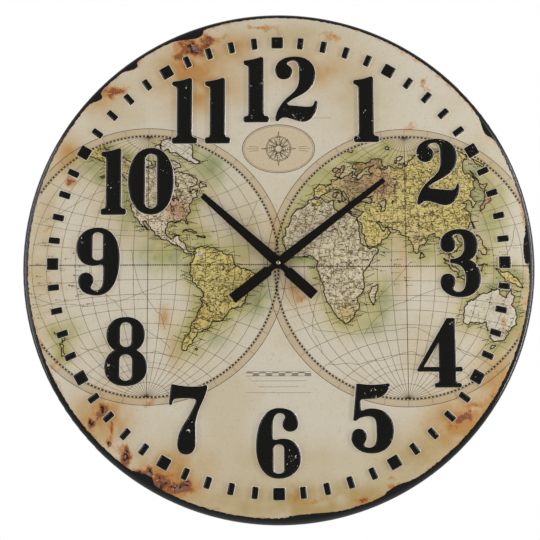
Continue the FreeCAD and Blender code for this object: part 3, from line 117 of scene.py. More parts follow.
class Look:
    """One material and short names for its nodes; lengths are in millimetres of the object's own space."""

    def __init__(self, name):
        self.material = bpy.data.materials.new(name)
        self.material.use_nodes = True
        self.tree = self.material.node_tree
        self.shader = self.tree.nodes["Principled BSDF"]
        self.place = self.tree.nodes.new("ShaderNodeTexCoord").outputs["Object"]

    def put(self, value, socket):
        """Links a node's output to a socket, or sets the socket to a number, a colour or a vector."""
        if isinstance(value, bpy.types.NodeSocket):
            self.tree.links.new(value, socket)
        elif isinstance(value, tuple):
            socket.default_value = (*value[:3], 1.0) if len(socket.default_value) == 4 else value
        else:
            socket.default_value = value

    def node(self, kind, **inputs):
        """A new node with the inputs that are named, an underscore standing for a space."""
        made = self.tree.nodes.new("ShaderNode" + kind)
        for name, value in inputs.items():
            self.put(value, made.inputs[name.replace("_", " ")])
        return made

    def stretched(self, x, y, z):
        return self.node("Mapping", Vector=self.place, Scale=(x, y, z)).outputs[0]

    def noise(self, size, detail=3.0, rough=0.6, place=None):
        node = self.node("TexNoise", Vector=place or self.place, Scale=1 / (size * MM), Detail=detail,
                         Roughness=rough)
        return node.outputs["Fac"]

    def warped(self, size, reach):
        """The place, pushed about by soft noise, so that what is drawn with it isn't regular."""
        noise = self.node("TexNoise", Vector=self.place, Scale=1 / (size * MM))
        push = self.node("VectorMath")
        push.operation = "MULTIPLY_ADD"
        for socket, value in zip(push.inputs, (noise.outputs["Color"], (reach * MM,) * 3, self.place)):
            self.put(value, socket)
        return push.outputs[0]

    def cells(self, size, place, out="Distance", borders=False):
        node = self.node("TexVoronoi", Vector=place, Scale=1 / (size * MM))
        if borders:
            node.feature = "DISTANCE_TO_EDGE"
        return node.outputs[out]

    def math(self, kind, a, b):
        node = self.node("Math")
        node.operation = kind
        self.put(a, node.inputs[0])
        self.put(b, node.inputs[1])
        return node.outputs[0]

    def times(self, a, b):
        return self.math("MULTIPLY", a, b)

    def plus(self, a, b):
        return self.math("ADD", a, b)

    def between(self, value, low, high, out_low=0.0, out_high=1.0):
        node = self.node("MapRange", Value=value, From_Min=low, From_Max=high, To_Min=out_low,
                         To_Max=out_high)
        node.interpolation_type = "SMOOTHSTEP"
        return node.outputs[0]

    def mix(self, share, a, b):
        node = self.node("Mix")
        node.data_type = "RGBA"
        for socket, value in ((0, share), (6, a), (7, b)):
            self.put(value, node.inputs[socket])
        return node.outputs[2]

    def mix_value(self, share, a, b):
        node = self.node("Mix")
        for socket, value in ((0, share), (2, a), (3, b)):
            self.put(value, node.inputs[socket])
        return node.outputs[0]

    def attribute(self, name, out="Fac"):
        node = self.node("Attribute")
        node.attribute_name = name
        return node.outputs[out]

    def bump(self, height, depth, strength=1.0):
        node = self.node("Bump", Height=height, Distance=depth * MM, Strength=strength)
        self.set(Normal=node.outputs[0])

    def set(self, **values):
        for name, value in values.items():
            self.put(value, self.shader.inputs[name.replace("_", " ")])


def finish_look(name, colour, other, rough, metal, grain, depth, brushed=None, wear=None, specular=0.5):
    """A plain finish: two tones in fine grain, uneven gloss, a little relief and worn spots."""
    look = Look(name)
    fine = look.noise(grain, 4.0, 0.65, look.stretched(*brushed) if brushed else None)
    broad = look.noise(grain * 18, 3.0, 0.55)
    tone = look.between(look.plus(look.times(fine, 0.6), look.times(broad, 0.45)), 0.3, 0.78)
    base = look.mix(tone, srgb(*colour), srgb(*other))
    if wear:
        spots = look.between(look.noise(grain * 5, 5.0, 0.7), 0.64, 0.72)
        base = look.mix(look.times(spots, 0.6), base, srgb(*wear))
    gloss = look.between(fine, 0.25, 0.75, rough * 0.8, rough * 1.25)
    look.set(Base_Color=base, Metallic=metal, Roughness=gloss, Specular_IOR_Level=specular)
    look.bump(fine, depth)
    return look.material


# Meshes


def placed(name, mesh):
    """Puts a mesh of the dial into the scene, on the clock's body."""
    thing = bpy.data.objects.new(name, mesh)
    bpy.context.scene.collection.objects.link(thing)
    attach(thing, "clock")
    return thing


def new_piece(name, points, faces, material, smooth=True):
    mesh = bpy.data.meshes.new(name)
    mesh.from_pydata(np.asarray(points, np.float32), [], faces)
    mesh.validate()
    mesh.update()
    mesh.materials.append(material)
    mesh.polygons.foreach_set("use_smooth", [smooth] * len(mesh.polygons))
    placed(name, mesh)
    return mesh


def give(mesh, name, values):
    """Stores one number or one colour for each vertex."""
    values = np.asarray(values, np.float32)
    if values.ndim == 1:
        mesh.attributes.new(name, "FLOAT", "POINT").data.foreach_set("value", values)
    else:
        values = np.concatenate([values, np.ones((len(values), 1), np.float32)], 1)
        mesh.attributes.new(name, "FLOAT_COLOR", "POINT").data.foreach_set("color", values.ravel())


LATTICE = 64


def cloud(x, y, size, seed, octaves=3):
    """Soft seeded noise from 0 to 1 over the dial's plane."""
    total, weight = 0.0, 0.0
    for octave in range(octaves):
        lattice = np.random.default_rng(seed + octave).random((LATTICE, LATTICE))
        u, v = x / size * 2 ** octave + 31.7, y / size * 2 ** octave + 17.3
        i, j = np.floor(u).astype(int), np.floor(v).astype(int)
        fu, fv = u - i, v - j
        fu, fv = fu * fu * (3 - 2 * fu), fv * fv * (3 - 2 * fv)
        corner = lambda a, b: lattice[(i + a) % LATTICE, (j + b) % LATTICE]
        value = (corner(0, 0) * (1 - fu) + corner(1, 0) * fu) * (1 - fv)
        value += (corner(0, 1) * (1 - fu) + corner(1, 1) * fu) * fv
        total += value * 0.5 ** octave
        weight += 0.5 ** octave
    return total / weight


# The map: a globular drawing of each hemisphere from its own list of rough coasts


def globular(longitude, latitude, middle):
    """Places of a hemisphere's points on the globular projection, about the hemisphere's centre."""
    turn = np.radians(np.asarray(longitude, float) - middle)
    turn = np.clip(turn, -math.pi / 2, math.pi / 2)
    turn = np.where(abs(turn) < 1e-4, 1e-4, turn)
    tilt = np.radians(np.asarray(latitude, float))
    tilt = np.where(abs(tilt) < 1e-4, 1e-4, np.clip(tilt, -1.5705, 1.5705))
    b = math.pi / (2 * turn) - 2 * turn / math.pi
    b = np.where(abs(b) < 1e-6, 1e-6, b)
    c = 2 * tilt / math.pi
    sine = np.sin(tilt)
    d = (1 - c * c) / (sine - c)
    along = (b * sine / d - b / 2) / (1 + (b / d) ** 2)
    upward = ((d / b) ** 2 * sine + d / 2) / (1 + (d / b) ** 2)
    x = along + np.sign(turn) * np.sqrt(np.maximum(along ** 2 + np.cos(tilt) ** 2 / (1 + (b / d) ** 2), 0))
    inner = upward ** 2 - ((d / b) ** 2 * sine ** 2 + d * sine - 1) / (1 + (d / b) ** 2)
    y = upward - np.sign(tilt) * np.sqrt(np.maximum(inner, 0))
    return GLOBE_RADIUS * x, GLOBE_RADIUS * y


def spots(side, longitude, latitude):
    """Places on the dial of points of a hemisphere."""
    x0, y0, middle = GLOBES[side]
    x, y = globular(longitude, latitude, middle)
    return np.stack([x + x0, y + y0], -1)


WASHES = {
    "cream": (207, 194, 164), "pale": (204, 197, 178), "yellow": (204, 187, 112), "gold": (196, 174, 98),
    "pink": (176, 138, 104), "mauve": (162, 134, 100), "sand": (192, 172, 120),
}

# Coasts of each hemisphere, parted by strokes: the wash, then the corners as longitude and latitude
COASTS = {
    "west": """
cream -168 66 -164 68 -166 69 -157 71 -141 70 -128 70 -115 68 -108 68 -95 68 -94 72 -86 69 -82 68 -87 64
-94 60 -92 57 -82 55 -80 51 -78 52 -79 55 -77 58 -78 62 -70 61 -65 59 -62 57 -57 53 -60 50 -66 50 -70 47
-65 48 -64 46 -61 46 -66 43 -70 43 -71 41 -74 40 -76 37 -76 35 -81 31 -80 26 -82 28 -84 30 -90 29 -94 29
-97 27 -97 22 -94 18 -91 19 -90 21 -87 21 -88 16 -84 15 -83 11 -81 9 -78 9 -77 8 -79 7 -83 8 -86 11 -88 13
-92 14 -96 16 -101 17 -105 20 -106 23 -109 27 -113 31 -114 30 -110 24 -112 26 -115 29 -117 32 -121 35
-124 40 -124 46 -123 49 -128 52 -132 56 -138 59 -146 61 -152 59 -158 56 -164 54 -158 58 -162 60 -165 62
-161 64 /
yellow -78 8 -75 11 -72 12 -71 11 -68 11 -62 10 -60 8 -57 6 -52 5 -50 1 -48 -1 -44 -2 -40 -3 -35 -5 -35 -9
-39 -13 -39 -18 -41 -22 -45 -23 -48 -26 -49 -29 -53 -33 -58 -34 -57 -37 -62 -39 -65 -41 -64 -43 -67 -46
-66 -48 -69 -51 -68 -54 -72 -54 -75 -50 -75 -46 -73 -42 -73 -37 -71 -32 -70 -25 -70 -18 -76 -14 -79 -8
-81 -5 -80 -2 -80 1 -78 3 -77 7 /
pale -73 78 -60 76 -54 70 -52 66 -48 61 -43 60 -40 65 -32 68 -22 70 -20 75 -20 81 -33 83 -60 82 /
pale -64 63 -72 63 -73 67 -86 70 -89 73 -80 73 -68 69 -62 66 / pale -117 73 -104 73 -102 69 -115 69 /
pale -90 77 -75 79 -62 82 -75 83 -92 81 / pink -59 48 -53 47 -56 51 /
pink -85 22 -80 23 -74 20 -78 20 -82 22 / pink -74 19 -69 19 -68 18 -74 18 /
yellow -61 -51 -58 -51 -59 -52 /
gold -200 60 -197 60 -190 62 -180 62 -173 64 -170 66 -175 67 -185 69 -200 69 /
yellow -187 -34 -184 -37 -181 -38 -185 -41 -184 -39 / yellow -187 -40 -186 -42 -190 -46 -193 -46 -189 -43
    """,
    "east": """
yellow -9 37 -9 39 -9 43 -2 43 -1 46 -4 48 0 49 4 52 8 54 8 57 10 57 10 54 14 54 19 54 21 57 24 59 29 60
25 60 21 61 22 64 25 65 20 64 17 61 17 58 14 55 12 57 10 59 5 59 5 62 11 65 15 68 21 70 28 71 34 69 41 67
34 66 37 64 44 66 44 68 54 68 60 69 68 68 67 71 73 72 73 68 80 73 87 75 100 77 112 76 113 73 128 73 140 72
160 70 160 53 157 51 155 56 157 61 152 59 143 59 137 54 141 53 140 48 135 44 131 43 128 40 129 36 126 34
126 38 122 39 118 38 122 37 119 35 122 31 120 27 114 22 108 21 106 19 109 13 105 9 103 12 100 13 99 10
103 3 101 3 98 8 98 14 96 16 94 17 91 22 87 21 82 16 80 14 80 10 77 8 75 12 73 17 72 21 69 22 66 25 61 25
57 26 54 26 50 30 48 29 50 26 51 25 54 24 56 26 60 22 57 19 52 16 45 13 43 14 39 21 35 28 33 29 34 32
36 36 31 36 27 37 26 40 31 41 38 41 41 42 37 45 39 47 35 45 33 44 31 46 28 43 28 41 24 40 23 38 22 37
20 40 17 43 13 45 13 43 18 40 16 38 15 40 11 43 8 44 3 43 2 41 0 39 -2 37 -5 36 /
cream -6 35 0 36 10 37 11 34 15 32 19 30 22 33 30 31 32 31 34 27 37 21 39 15 43 12 51 12 49 7 44 1 39 -4
40 -12 35 -20 35 -24 32 -28 27 -33 20 -35 18 -32 15 -26 12 -17 13 -11 9 -2 9 3 4 6 -2 5 -8 4 -13 8 -17 13
-16 19 -17 21 -13 27 -10 30 -9 33 / cream 49 -12 50 -15 47 -25 44 -24 43 -21 44 -16 /
sand 80 10 82 7 80 6 / sand 95 6 100 2 106 -3 106 -6 101 -2 97 2 / sand 105 -7 110 -6 114 -8 108 -8 /
gold 109 2 113 3 117 7 119 5 117 0 116 -4 110 -3 / sand 119 -5 119 0 125 1 121 0 123 -4 121 -3 /
sand 120 16 121 18 122 17 124 13 126 7 124 6 122 8 120 13 /
yellow 131 -1 134 -3 141 -3 147 -6 151 -10 146 -9 143 -9 138 -8 137 -5 133 -4 /
sand 120 23 122 25 121 22 / pink 130 31 131 34 136 36 139 39 141 41 141 35 136 34 /
sand 140 42 142 45 145 43 142 42 / sand 142 46 142 54 143 53 143 49 /
pale 114 -22 113 -26 115 -34 118 -35 124 -33 131 -31 135 -35 138 -33 140 -38 147 -39 150 -37 153 -28
150 -22 146 -18 145 -15 142 -11 141 -16 136 -15 136 -12 131 -12 128 -15 124 -16 122 -18 /
pale 145 -41 148 -41 147 -43 146 -43 / pink -5 50 1 51 0 53 -2 57 -5 58 -5 55 -3 54 -4 52 /
pink -10 52 -6 52 -6 55 -9 54 / pink -20 63 -14 65 -16 66 -20 66 / pale 11 79 18 77 26 79 18 80 /
pale 52 71 57 71 68 76 60 76 / pink 12 38 15 38 15 37 / pink 8 39 10 39 9 43 8 41 / pink 24 35 26 35 25 34
    """,
}
LAKES = {
    "east": """
yellow 49 45 53 46 53 41 54 37 50 37 49 41 47 43 / yellow 59 46 61 45 59 44
    """,
    "west": """
cream -92 47 -88 49 -85 47 / pink -88 45 -87 42 -86 44 / pink -84 46 -82 45 -82 43
    """,
}
# Soft regional washes: hemisphere, longitude, latitude, reach in millimetres and wash
REGIONS = [
    ("west", -84, 38, 13, "pink"), ("west", -72, 50, 16, "cream"), ("west", -150, 64, 13, "sand"),
    ("west", -60, -36, 20, "gold"), ("east", 18, 52, 20, "mauve"), ("east", 15, 66, 13, "mauve"),
    ("east", 45, 56, 14, "pink"), ("east", 78, 18, 14, "sand"), ("east", 48, 25, 16, "yellow"),
    ("east", 112, 32, 17, "yellow"), ("east", 20, 22, 20, "cream"), ("east", 24, -28, 12, "sand"),
]
RIVERS = {
    "west": """
-50 0 -58 -3 -66 -3 -73 -5 / -90 29 -91 35 -90 40 -94 45 / -58 -33 -58 -26 -53 -19 /
-134 68 -125 63 -112 60 / -65 49 -74 45 -80 43 / -62 9 -67 7 -68 4
    """,
    "east": """
31 31 32 25 33 18 32 10 32 2 / 5 5 6 10 0 16 -6 13 / 12 -6 18 0 26 -2 25 -9 / 89 23 83 26 78 30 /
121 31 113 30 105 29 99 31 / 118 37 110 36 104 37 / 70 66 66 62 76 58 83 52 /
127 72 125 64 115 59 107 54 / 47 46 45 49 49 55 40 57 / 29 45 21 45 12 48 / 67 24 71 30 75 34 /
48 30 41 35 39 38 / 139 -35 144 -34 149 -33 / 82 72 90 62 92 54
    """,
}
RANGES = {
    "west": """
-78 -2 -76 -10 -69 -18 -70 -28 -71 -38 -73 -48 / -105 35 -112 43 -120 53 -138 62 / -83 36 -77 41 -72 44
    """,
    "east": """
75 34 85 28 96 28 / 59 52 60 60 66 67 / 7 45 15 47 / -7 32 8 35 / 85 49 98 51 115 55 / 39 43 48 41 /
36 8 38 12 / 18 -33 28 -30 / 148 -35 150 -28 / 8 61 15 67 / 52 30 60 28
    """,
}
ROUTES = {
    "west": """
-190 20 -176 30 -160 44 -146 52 / -150 18 -148 -10 -140 -18 -126 -34 -108 -46 -82 -56 /
-200 -12 -180 -20 -160 -24 -140 -26 -122 -22 -100 -14 -82 -8 / -24 30 -40 18 -60 16 /
-24 -10 -34 -24 -48 -40 -62 -54 / -176 -46 -150 -58 -126 -62 -100 -60 -74 -60 /
-122 12 -116 -16 -104 -30 -92 -44
    """,
    "east": """
-18 -4 -12 -24 4 -36 18 -40 42 -44 74 -42 100 -48 130 -52 152 -48 / 44 -26 62 -10 74 4 /
30 -44 52 -30 74 -22 96 -14 106 -9 / 150 20 140 6 130 2 / -16 -50 10 -58 40 -62 76 -58 110 -64 /
8 -14 -4 -30 -10 -46
    """,
}


def runs(table):
    """The hemisphere, the wash if one is named, and the corners of each run of a table."""
    for side, text in table.items():
        for words in text.split("/"):
            words = words.split()
            wash = words.pop(0) if words[0].isalpha() else None
            yield side, wash, np.array(words, float).reshape(-1, 2)


# Millimetres between the points of a run, and how finely its corners are joined
COAST_STEP = 0.8
CORNER_STEP = 1.2
# The bays and capes of a coast: their size and their reach
ROUGHNESS = ((9, 2.4), (3.5, 1.5), (1.6, 0.8))
COAST_SEED, LAKE_SEED = 40, 140


def on_globe(side, corners, closed):
    """A run of corners as points on the dial, close together and a little uneven."""
    if closed:
        corners = np.vstack([corners, corners[:1]])
    points = []
    for (a, b), (c, d) in zip(corners[:-1], corners[1:]):
        count = max(2, int(max(abs(a - c) * 0.7, abs(b - d)) / CORNER_STEP * 2) + 1)
        share = np.linspace(0, 1, count, endpoint=False)
        points.append(spots(side, a + (c - a) * share, b + (d - b) * share))
    points.append(spots(side, *corners[-1:].T))
    return np.vstack(points)


def roughened(points, side, seed):
    """The same run with a coast's small bays and capes; the hemisphere's own edge stays a true arc."""
    x, y = points[:, 0].copy(), points[:, 1].copy()
    x0, y0, _ = GLOBES[side]
    inside = np.clip((GLOBE_RADIUS - np.hypot(x - x0, y - y0)) / 3, 0, 1)
    for size, reach in ROUGHNESS:
        x = x + (cloud(points[:, 0], points[:, 1], size, seed, 2) - 0.5) * 2 * reach * inside
        y = y + (cloud(points[:, 0] + 91, points[:, 1], size, seed + 5, 2) - 0.5) * 2 * reach * inside
    return np.stack([x, y], 1)


def resampled(points, step):
    lengths = np.r_[0, np.cumsum(np.hypot(*np.diff(points, axis=0).T))]
    marks = np.linspace(0, lengths[-1], max(2, int(lengths[-1] / step) + 1))
    return np.stack([np.interp(marks, lengths, points[:, 0]), np.interp(marks, lengths, points[:, 1])], 1)


coasts = []
for table, seed, solid in ((COASTS, COAST_SEED, True), (LAKES, LAKE_SEED, False)):
    for number, (side, wash, corners) in enumerate(runs(table)):
        run = roughened(resampled(on_globe(side, corners, True), COAST_STEP), side, seed + number)
        coasts.append((side, wash, run, solid))


shore = np.vstack([run for _, _, run, _ in coasts])
shore_owner = np.concatenate([np.full(len(coast[2]), number) for number, coast in enumerate(coasts)])
shore_tree = kdtree.KDTree(len(shore))
for number, (x, y) in enumerate(shore):
    shore_tree.insert((x, y, 0), number)
shore_tree.balance()


def on_land(x, y):
    land = np.zeros(len(x), bool)
    for _, _, run, solid in coasts:
        low, high = run.min(0), run.max(0)
        near = (x > low[0]) & (x < high[0]) & (y > low[1]) & (y < high[1])
        px, py = x[near], y[near]
        inside = np.zeros(len(px), bool)
        for (ax, ay), (bx, by) in zip(run[:-1], run[1:]):
            if ay != by:
                crosses = (ay > py) != (by > py)
                inside ^= crosses & (px < (bx - ax) * (py - ay) / (by - ay) + ax)
        land[np.flatnonzero(near)[inside]] = solid
    return land


def from_shore(x, y):
    """The distance of points from the nearest coast, less than nothing at sea, and that coast's number."""
    found = [shore_tree.find((a, b, 0)) for a, b in zip(x, y)]
    away = np.array([f[2] for f in found])
    return np.where(on_land(x, y), away, -away), shore_owner[[f[1] for f in found]]


# Ink lines: flat ribbons just over the print

DARK_INK = (26, 17, 8)
BROWN_INK = (66, 48, 28)
FAINT_INK = (108, 88, 58)
INK_MARGIN = 1.2
# Widths of the lines, from the finest to the broadest
HAIR, THIN, LIGHT, SLIGHT, PLAIN, FIRM, STRONG, HEAVY = 0.25, 0.3, 0.35, 0.4, 0.45, 0.5, 0.7, 0.9


def drop(radius):
    """How far the rounded edge lies below the flat of the face."""
    beyond = np.clip(radius - FLAT_RADIUS, 0, EDGE_ROUND * 0.98)
    return EDGE_ROUND - np.sqrt(EDGE_ROUND ** 2 - beyond ** 2)


class Ink:
    def __init__(self):
        self.points, self.faces, self.colours = [], [], []
        self.count = 0

    def line(self, points, width, colour, closed=False):
        points = np.asarray(points, float)
        if closed:
            points = np.vstack([points, points[:1]])
        fits = np.hypot(points[:, 0], points[:, 1] - PRINT_RAISED) < PRINT_RADIUS - INK_MARGIN
        start = 0
        for i in range(len(points) + 1):
            if i == len(points) or not fits[i]:
                if i - start >= 2:
                    self.strip(points[start:i], width, colour)
                start = i + 1

    def strip(self, points, width, colour):
        way = np.gradient(points, axis=0)
        way /= np.maximum(np.hypot(way[:, 0], way[:, 1]), 1e-9)[:, None]
        aside = np.stack([-way[:, 1], way[:, 0]], 1) * width / 2
        both = np.concatenate([points + aside, points - aside])
        lift = INK_LIFT - drop(np.hypot(both[:, 0], both[:, 1]))
        self.points.append(world(both[:, 0], both[:, 1], lift))
        count = len(points)
        first = self.count + np.arange(count - 1)
        self.faces.append(np.stack([first, first + count, first + count + 1, first + 1], 1))
        self.colours.append(np.tile(srgb(*colour), (2 * count, 1)))
        self.count += 2 * count

    def arc(self, centre, radius, first, last, width, colour, step=2.0):
        count = max(3, int(abs(last - first) / step * max(radius, 20) / 60) + 1)
        turn = np.radians(np.linspace(first, last, count))
        x, y = centre[0] + radius * np.cos(turn), centre[1] + radius * np.sin(turn)
        self.line(np.stack([x, y], 1), width, colour)

    def piece(self, name, material):
        faces = np.vstack(self.faces).tolist()
        mesh = new_piece(name, np.vstack(self.points), faces, material, smooth=False)
        give(mesh, "ink", np.vstack(self.colours))


chart = Ink()
shapes = Ink()
chance = random.Random(11)
draw = chance.uniform

# The two globes: dashed rings, ticks of the band, and the net of longitudes and latitudes in degrees
DASH_WIDTH = 1.9
DASHED_DEGREES = 230
RING_IN, RING_DASHED, RING_OUT = GLOBE_RADIUS - 1.0, GLOBE_RADIUS + 0.4, GLOBE_RADIUS + 1.9
BAND_TICK = 10
NET_STEP = 10.0
NET_REACH = 8
NET_POINTS = 61
CIRCLES = (23.5, -23.5, 66.5, -66.5)
CIRCLE_DASH = np.array([0.2, 1.3])
EQUATOR_STEP, EQUATOR_DASH, EQUATOR_WIDTH = 2.0, 1.3, 1.35

quarter = np.linspace(-90, 90, NET_POINTS)
for side, (x0, y0, middle) in GLOBES.items():
    for dash in range(GLOBE_DASHES):
        start = dash * 360 / GLOBE_DASHES
        end = start + DASHED_DEGREES / GLOBE_DASHES
        chart.arc((x0, y0), RING_DASHED, start, end, DASH_WIDTH, DARK_INK, 0.5)
    for radius, width, ink in ((BAND_RADIUS, 0.6, BROWN_INK), (RING_IN, HAIR, FAINT_INK),
                               (RING_OUT, HAIR, BROWN_INK)):
        chart.arc((x0, y0), radius, 0, 360, width, ink, 1.0)
    for degree in range(0, 360, BAND_TICK):
        turn = math.radians(degree)
        ends = [(x0 + r * math.cos(turn), y0 + r * math.sin(turn)) for r in (RING_OUT, BAND_RADIUS)]
        chart.line(ends, THIN, BROWN_INK)
    for step in range(-NET_REACH, NET_REACH + 1):
        width, ink = (PLAIN, FAINT_INK) if step else (STRONG, BROWN_INK)
        chart.line(spots(side, np.full(NET_POINTS, middle + step * NET_STEP), quarter), width, ink)
        if step:
            level = np.full(NET_POINTS, step * NET_STEP)
            chart.line(spots(side, middle + quarter, level), PLAIN, FAINT_INK)
    for latitude in CIRCLES:
        for step in range(-44, 44):
            dash = spots(side, middle + step * 2 + CIRCLE_DASH, np.full(2, latitude))
            chart.line(dash, SLIGHT, BROWN_INK)
    dashes = int(GLOBE_RADIUS / EQUATOR_STEP)
    for step in range(-dashes, dashes):
        left = x0 + step * EQUATOR_STEP + 0.3
        chart.line([(left, y0), (left + EQUATOR_DASH, y0)], EQUATOR_WIDTH, DARK_INK)

# Sea routes, smoothed over a number of points and bent a little
ROUTE_POINTS = 6
ROUTE_SMOOTHING = 15
ROUTE_SWAY = 5
for side, _, bends in runs(ROUTES):
    share = np.linspace(0, len(bends) - 1, ROUTE_POINTS * len(bends))
    smooth = np.stack([np.interp(share, range(len(bends)), bends[:, k]) for k in (0, 1)], 1)
    run = resampled(on_globe(side, smooth, False), 1.0)
    kernel = np.ones(ROUTE_SMOOTHING) / ROUTE_SMOOTHING
    padded = np.pad(run, ((ROUTE_SMOOTHING // 2,) * 2, (0, 0)), "edge")
    run = np.stack([np.convolve(padded[:, k], kernel, "valid") for k in (0, 1)], 1)
    run += (cloud(run[:, 0:1], run[:, 1:2], 14, 300) - 0.5) * ROUTE_SWAY
    chart.line(run, LIGHT, BROWN_INK)


def hill(x, y, size):
    shapes.line([(x - size, y - size * 0.4), (x - size * 0.1, y + size * 0.7)], PLAIN, DARK_INK)
    shapes.line([(x - size * 0.15, y + size * 0.7), (x + size, y - size * 0.4)], THIN, BROWN_INK)
    shapes.line([(x, y + size * 0.3), (x + size * 0.5, y - size * 0.4)], HAIR, BROWN_INK)


HILL_STEP = 3.1
RIVER_SEED, RANGE_SEED = 77, 78
for side, _, corners in runs(RIVERS):
    run = resampled(on_globe(side, corners, False), COAST_STEP)
    shapes.line(roughened(run, side, RIVER_SEED), PLAIN, BROWN_INK)
for side, _, corners in runs(RANGES):
    for x, y in roughened(resampled(on_globe(side, corners, False), HILL_STEP), side, RANGE_SEED):
        hill(x + draw(-0.7, 0.7), y + draw(-0.7, 0.7), draw(1.0, 1.7))

# Coastlines, with fine strokes off every shore and broken strokes off the longer ones
COAST_WIDTH = 1.3
LARGE_LAND = 300
RIM_MARGIN = 4
STROKE_STEPS = (2.0, 3.0)
SIDEWAYS = np.array([[1.98, 0], [-1.98, 0]])
ROOT_STEP = 3.3
ROOT_START = 2.6
for side, wash, run, solid in coasts:
    x0, y0, _ = GLOBES[side]
    rim = np.hypot(run[:, 0] - x0, run[:, 1] - y0) > GLOBE_RADIUS - 0.8
    shapes.line(run[~rim] if rim.any() else run, COAST_WIDTH, DARK_INK)
    if not solid:
        continue
    area = 0.5 * abs(np.dot(run[:-1, 0], run[1:, 1]) - np.dot(run[1:, 0], run[:-1, 1]))
    marks = resampled(run, STROKE_STEPS[0] if area > LARGE_LAND else STROKE_STEPS[1])
    tests = (marks[:, None, :] + SIDEWAYS[None]).reshape(-1, 2)
    wet = ~on_land(tests[:, 0], tests[:, 1])
    for i, (x, y) in enumerate(marks):
        if math.hypot(x - x0, y - y0) > GLOBE_RADIUS - RIM_MARGIN:
            continue
        for k, sign in ((0, 1), (1, -1)):
            if wet[2 * i + k]:
                reach = draw(1.6, 3.4)
                shapes.line([(x + sign * 0.5, y), (x + sign * reach, y)], THIN, BROWN_INK)
    if area < LARGE_LAND:
        continue
    roots = resampled(run, ROOT_STEP)[1:-1]
    signs = np.array([chance.choice((-1, 1)) for _ in roots])
    slopes = np.array([math.sin(draw(-0.5, 0.5)) for _ in roots])
    clear = np.ones(len(roots), bool)
    for reach in (3.0, 6.0, 9.0):
        far_x, far_y = roots[:, 0] + signs * reach, roots[:, 1] + slopes * reach
        in_reach = np.hypot(far_x - x0, far_y - y0) < GLOBE_RADIUS - RIM_MARGIN
        clear &= ~on_land(far_x, far_y) & in_reach
    for (x, y), sign, slope in zip(roots[clear], signs[clear], slopes[clear]):
        here = ROOT_START
        end = draw(7, 12)
        while here < end:
            there = here + draw(0.7, 1.8)
            ends = [(x + here * sign, y + here * slope), (x + there * sign, y + there * slope)]
            shapes.line(ends, draw(0.7, 1.1), DARK_INK)
            here = there + 0.6

# Small marks on the lands: hills, rings for towns, broken strokes and winding lines
TRIES = 14000
MOST_MARKS = 3600
SHORE_MARGIN = 1.6
LEFT_BLANK = 0.8
HILLS_TO, TOWNS_TO, STROKES_TO = 0.22, 0.42, 0.7
scatter = np.random.default_rng(5)
sx, sy = scatter.uniform(-280, 280, TRIES), scatter.uniform(-150, 145, TRIES)
deep, near = from_shore(sx, sy)
kept = 0
for x, y, depth, nearest in zip(sx, sy, deep, near):
    if coasts[nearest][1] == "pale" and chance.random() < LEFT_BLANK:
        continue
    if depth < SHORE_MARGIN or kept > MOST_MARKS:
        continue
    kept += 1
    kind = chance.random()
    if kind < HILLS_TO:
        hill(x, y, draw(0.8, 1.4))
    elif kind < TOWNS_TO:
        shapes.arc((x, y), 0.55, 0, 360, SLIGHT, DARK_INK, 20)
    elif kind < STROKES_TO:
        length = draw(2.0, 4.5)
        slope = draw(-0.25, 0.25)
        here = 0.0
        while here < length:
            there = here + draw(0.5, 1.0)
            shapes.line([(x + here, y + here * slope), (x + there, y + there * slope)], 0.95, DARK_INK)
            here = there + 0.45
    else:
        shapes.line(np.cumsum(scatter.normal(0, 0.8, (5, 2)), 0) + (x, y), LIGHT, BROWN_INK)

# Small islands of the great ocean: hemisphere, lowest and highest longitude and latitude, and number
ISLANDS = [
    ("west", (-198, -26), (-150, 12), 60), ("west", (-98, 10), (-60, 24), 14),
    ("east", (118, -10), (158, 14), 34), ("east", (50, -20), (76, 10), 12),
]
for side, low, high, count in ISLANDS:
    for _ in range(count):
        longitude, latitude = draw(low[0], high[0]), draw(low[1], high[1])
        x, y = spots(side, [longitude], [latitude])[0].tolist()
        shapes.arc((x, y), draw(0.4, 0.9), 0, 360, FIRM, DARK_INK, 20)
        here = 1.6
        while here < draw(4, 8):
            shapes.line([(x + here, y), (x + here + 0.9, y)], FIRM, BROWN_INK)
            here += 1.5

# The oval cartouche with a compass rose, the scale bar and fine rules

cx, cy, wide, high = CARTOUCHE
turn = np.linspace(0, 2 * math.pi, 121)
for grow, width in ((0.0, STRONG), (-1.6, THIN)):
    x, y = cx + (wide + grow) * np.cos(turn), cy + (high + grow) * np.sin(turn)
    chart.line(np.stack([x, y], 1), width, BROWN_INK)
ROSE_INNER, ROSE_OUTER = 13.0, 14.2
for radius, width in ((ROSE_INNER, LIGHT), (ROSE_OUTER, FIRM), (4.2, THIN)):
    chart.arc((cx, cy), radius, 0, 360, width, DARK_INK, 3)
# Reach and half width at the root of the rose's points, by the power of two that divides their number
ROSE_POINTS = 32
ROSE = {8: (20.0, 2.6), 4: (15.6, 1.9), 2: (12.4, 1.2)}
ROSE_HATCHES = 7
centre = np.array([cx, cy])
for point in range(ROSE_POINTS):
    angle = math.radians(point * 360 / ROSE_POINTS)
    tip = np.array([math.sin(angle), math.cos(angle)])
    aside = np.array([tip[1], -tip[0]])
    kind = next((step for step in ROSE if point % step == 0), None)
    if not kind:
        shapes.line([centre + tip * ROSE_INNER, centre + tip * ROSE_OUTER], LIGHT, DARK_INK)
        continue
    reach, root = ROSE[kind]
    for sign in (-1, 1):
        shapes.line([centre + tip * 3 + aside * root * sign, centre + tip * reach], SLIGHT, DARK_INK)
    for part in range(1, ROSE_HATCHES):
        share = part / ROSE_HATCHES
        near_root = centre + tip * (3 + (reach - 3) * share)
        shapes.line([near_root, near_root + aside * root * (1 - share)], HEAVY, DARK_INK)
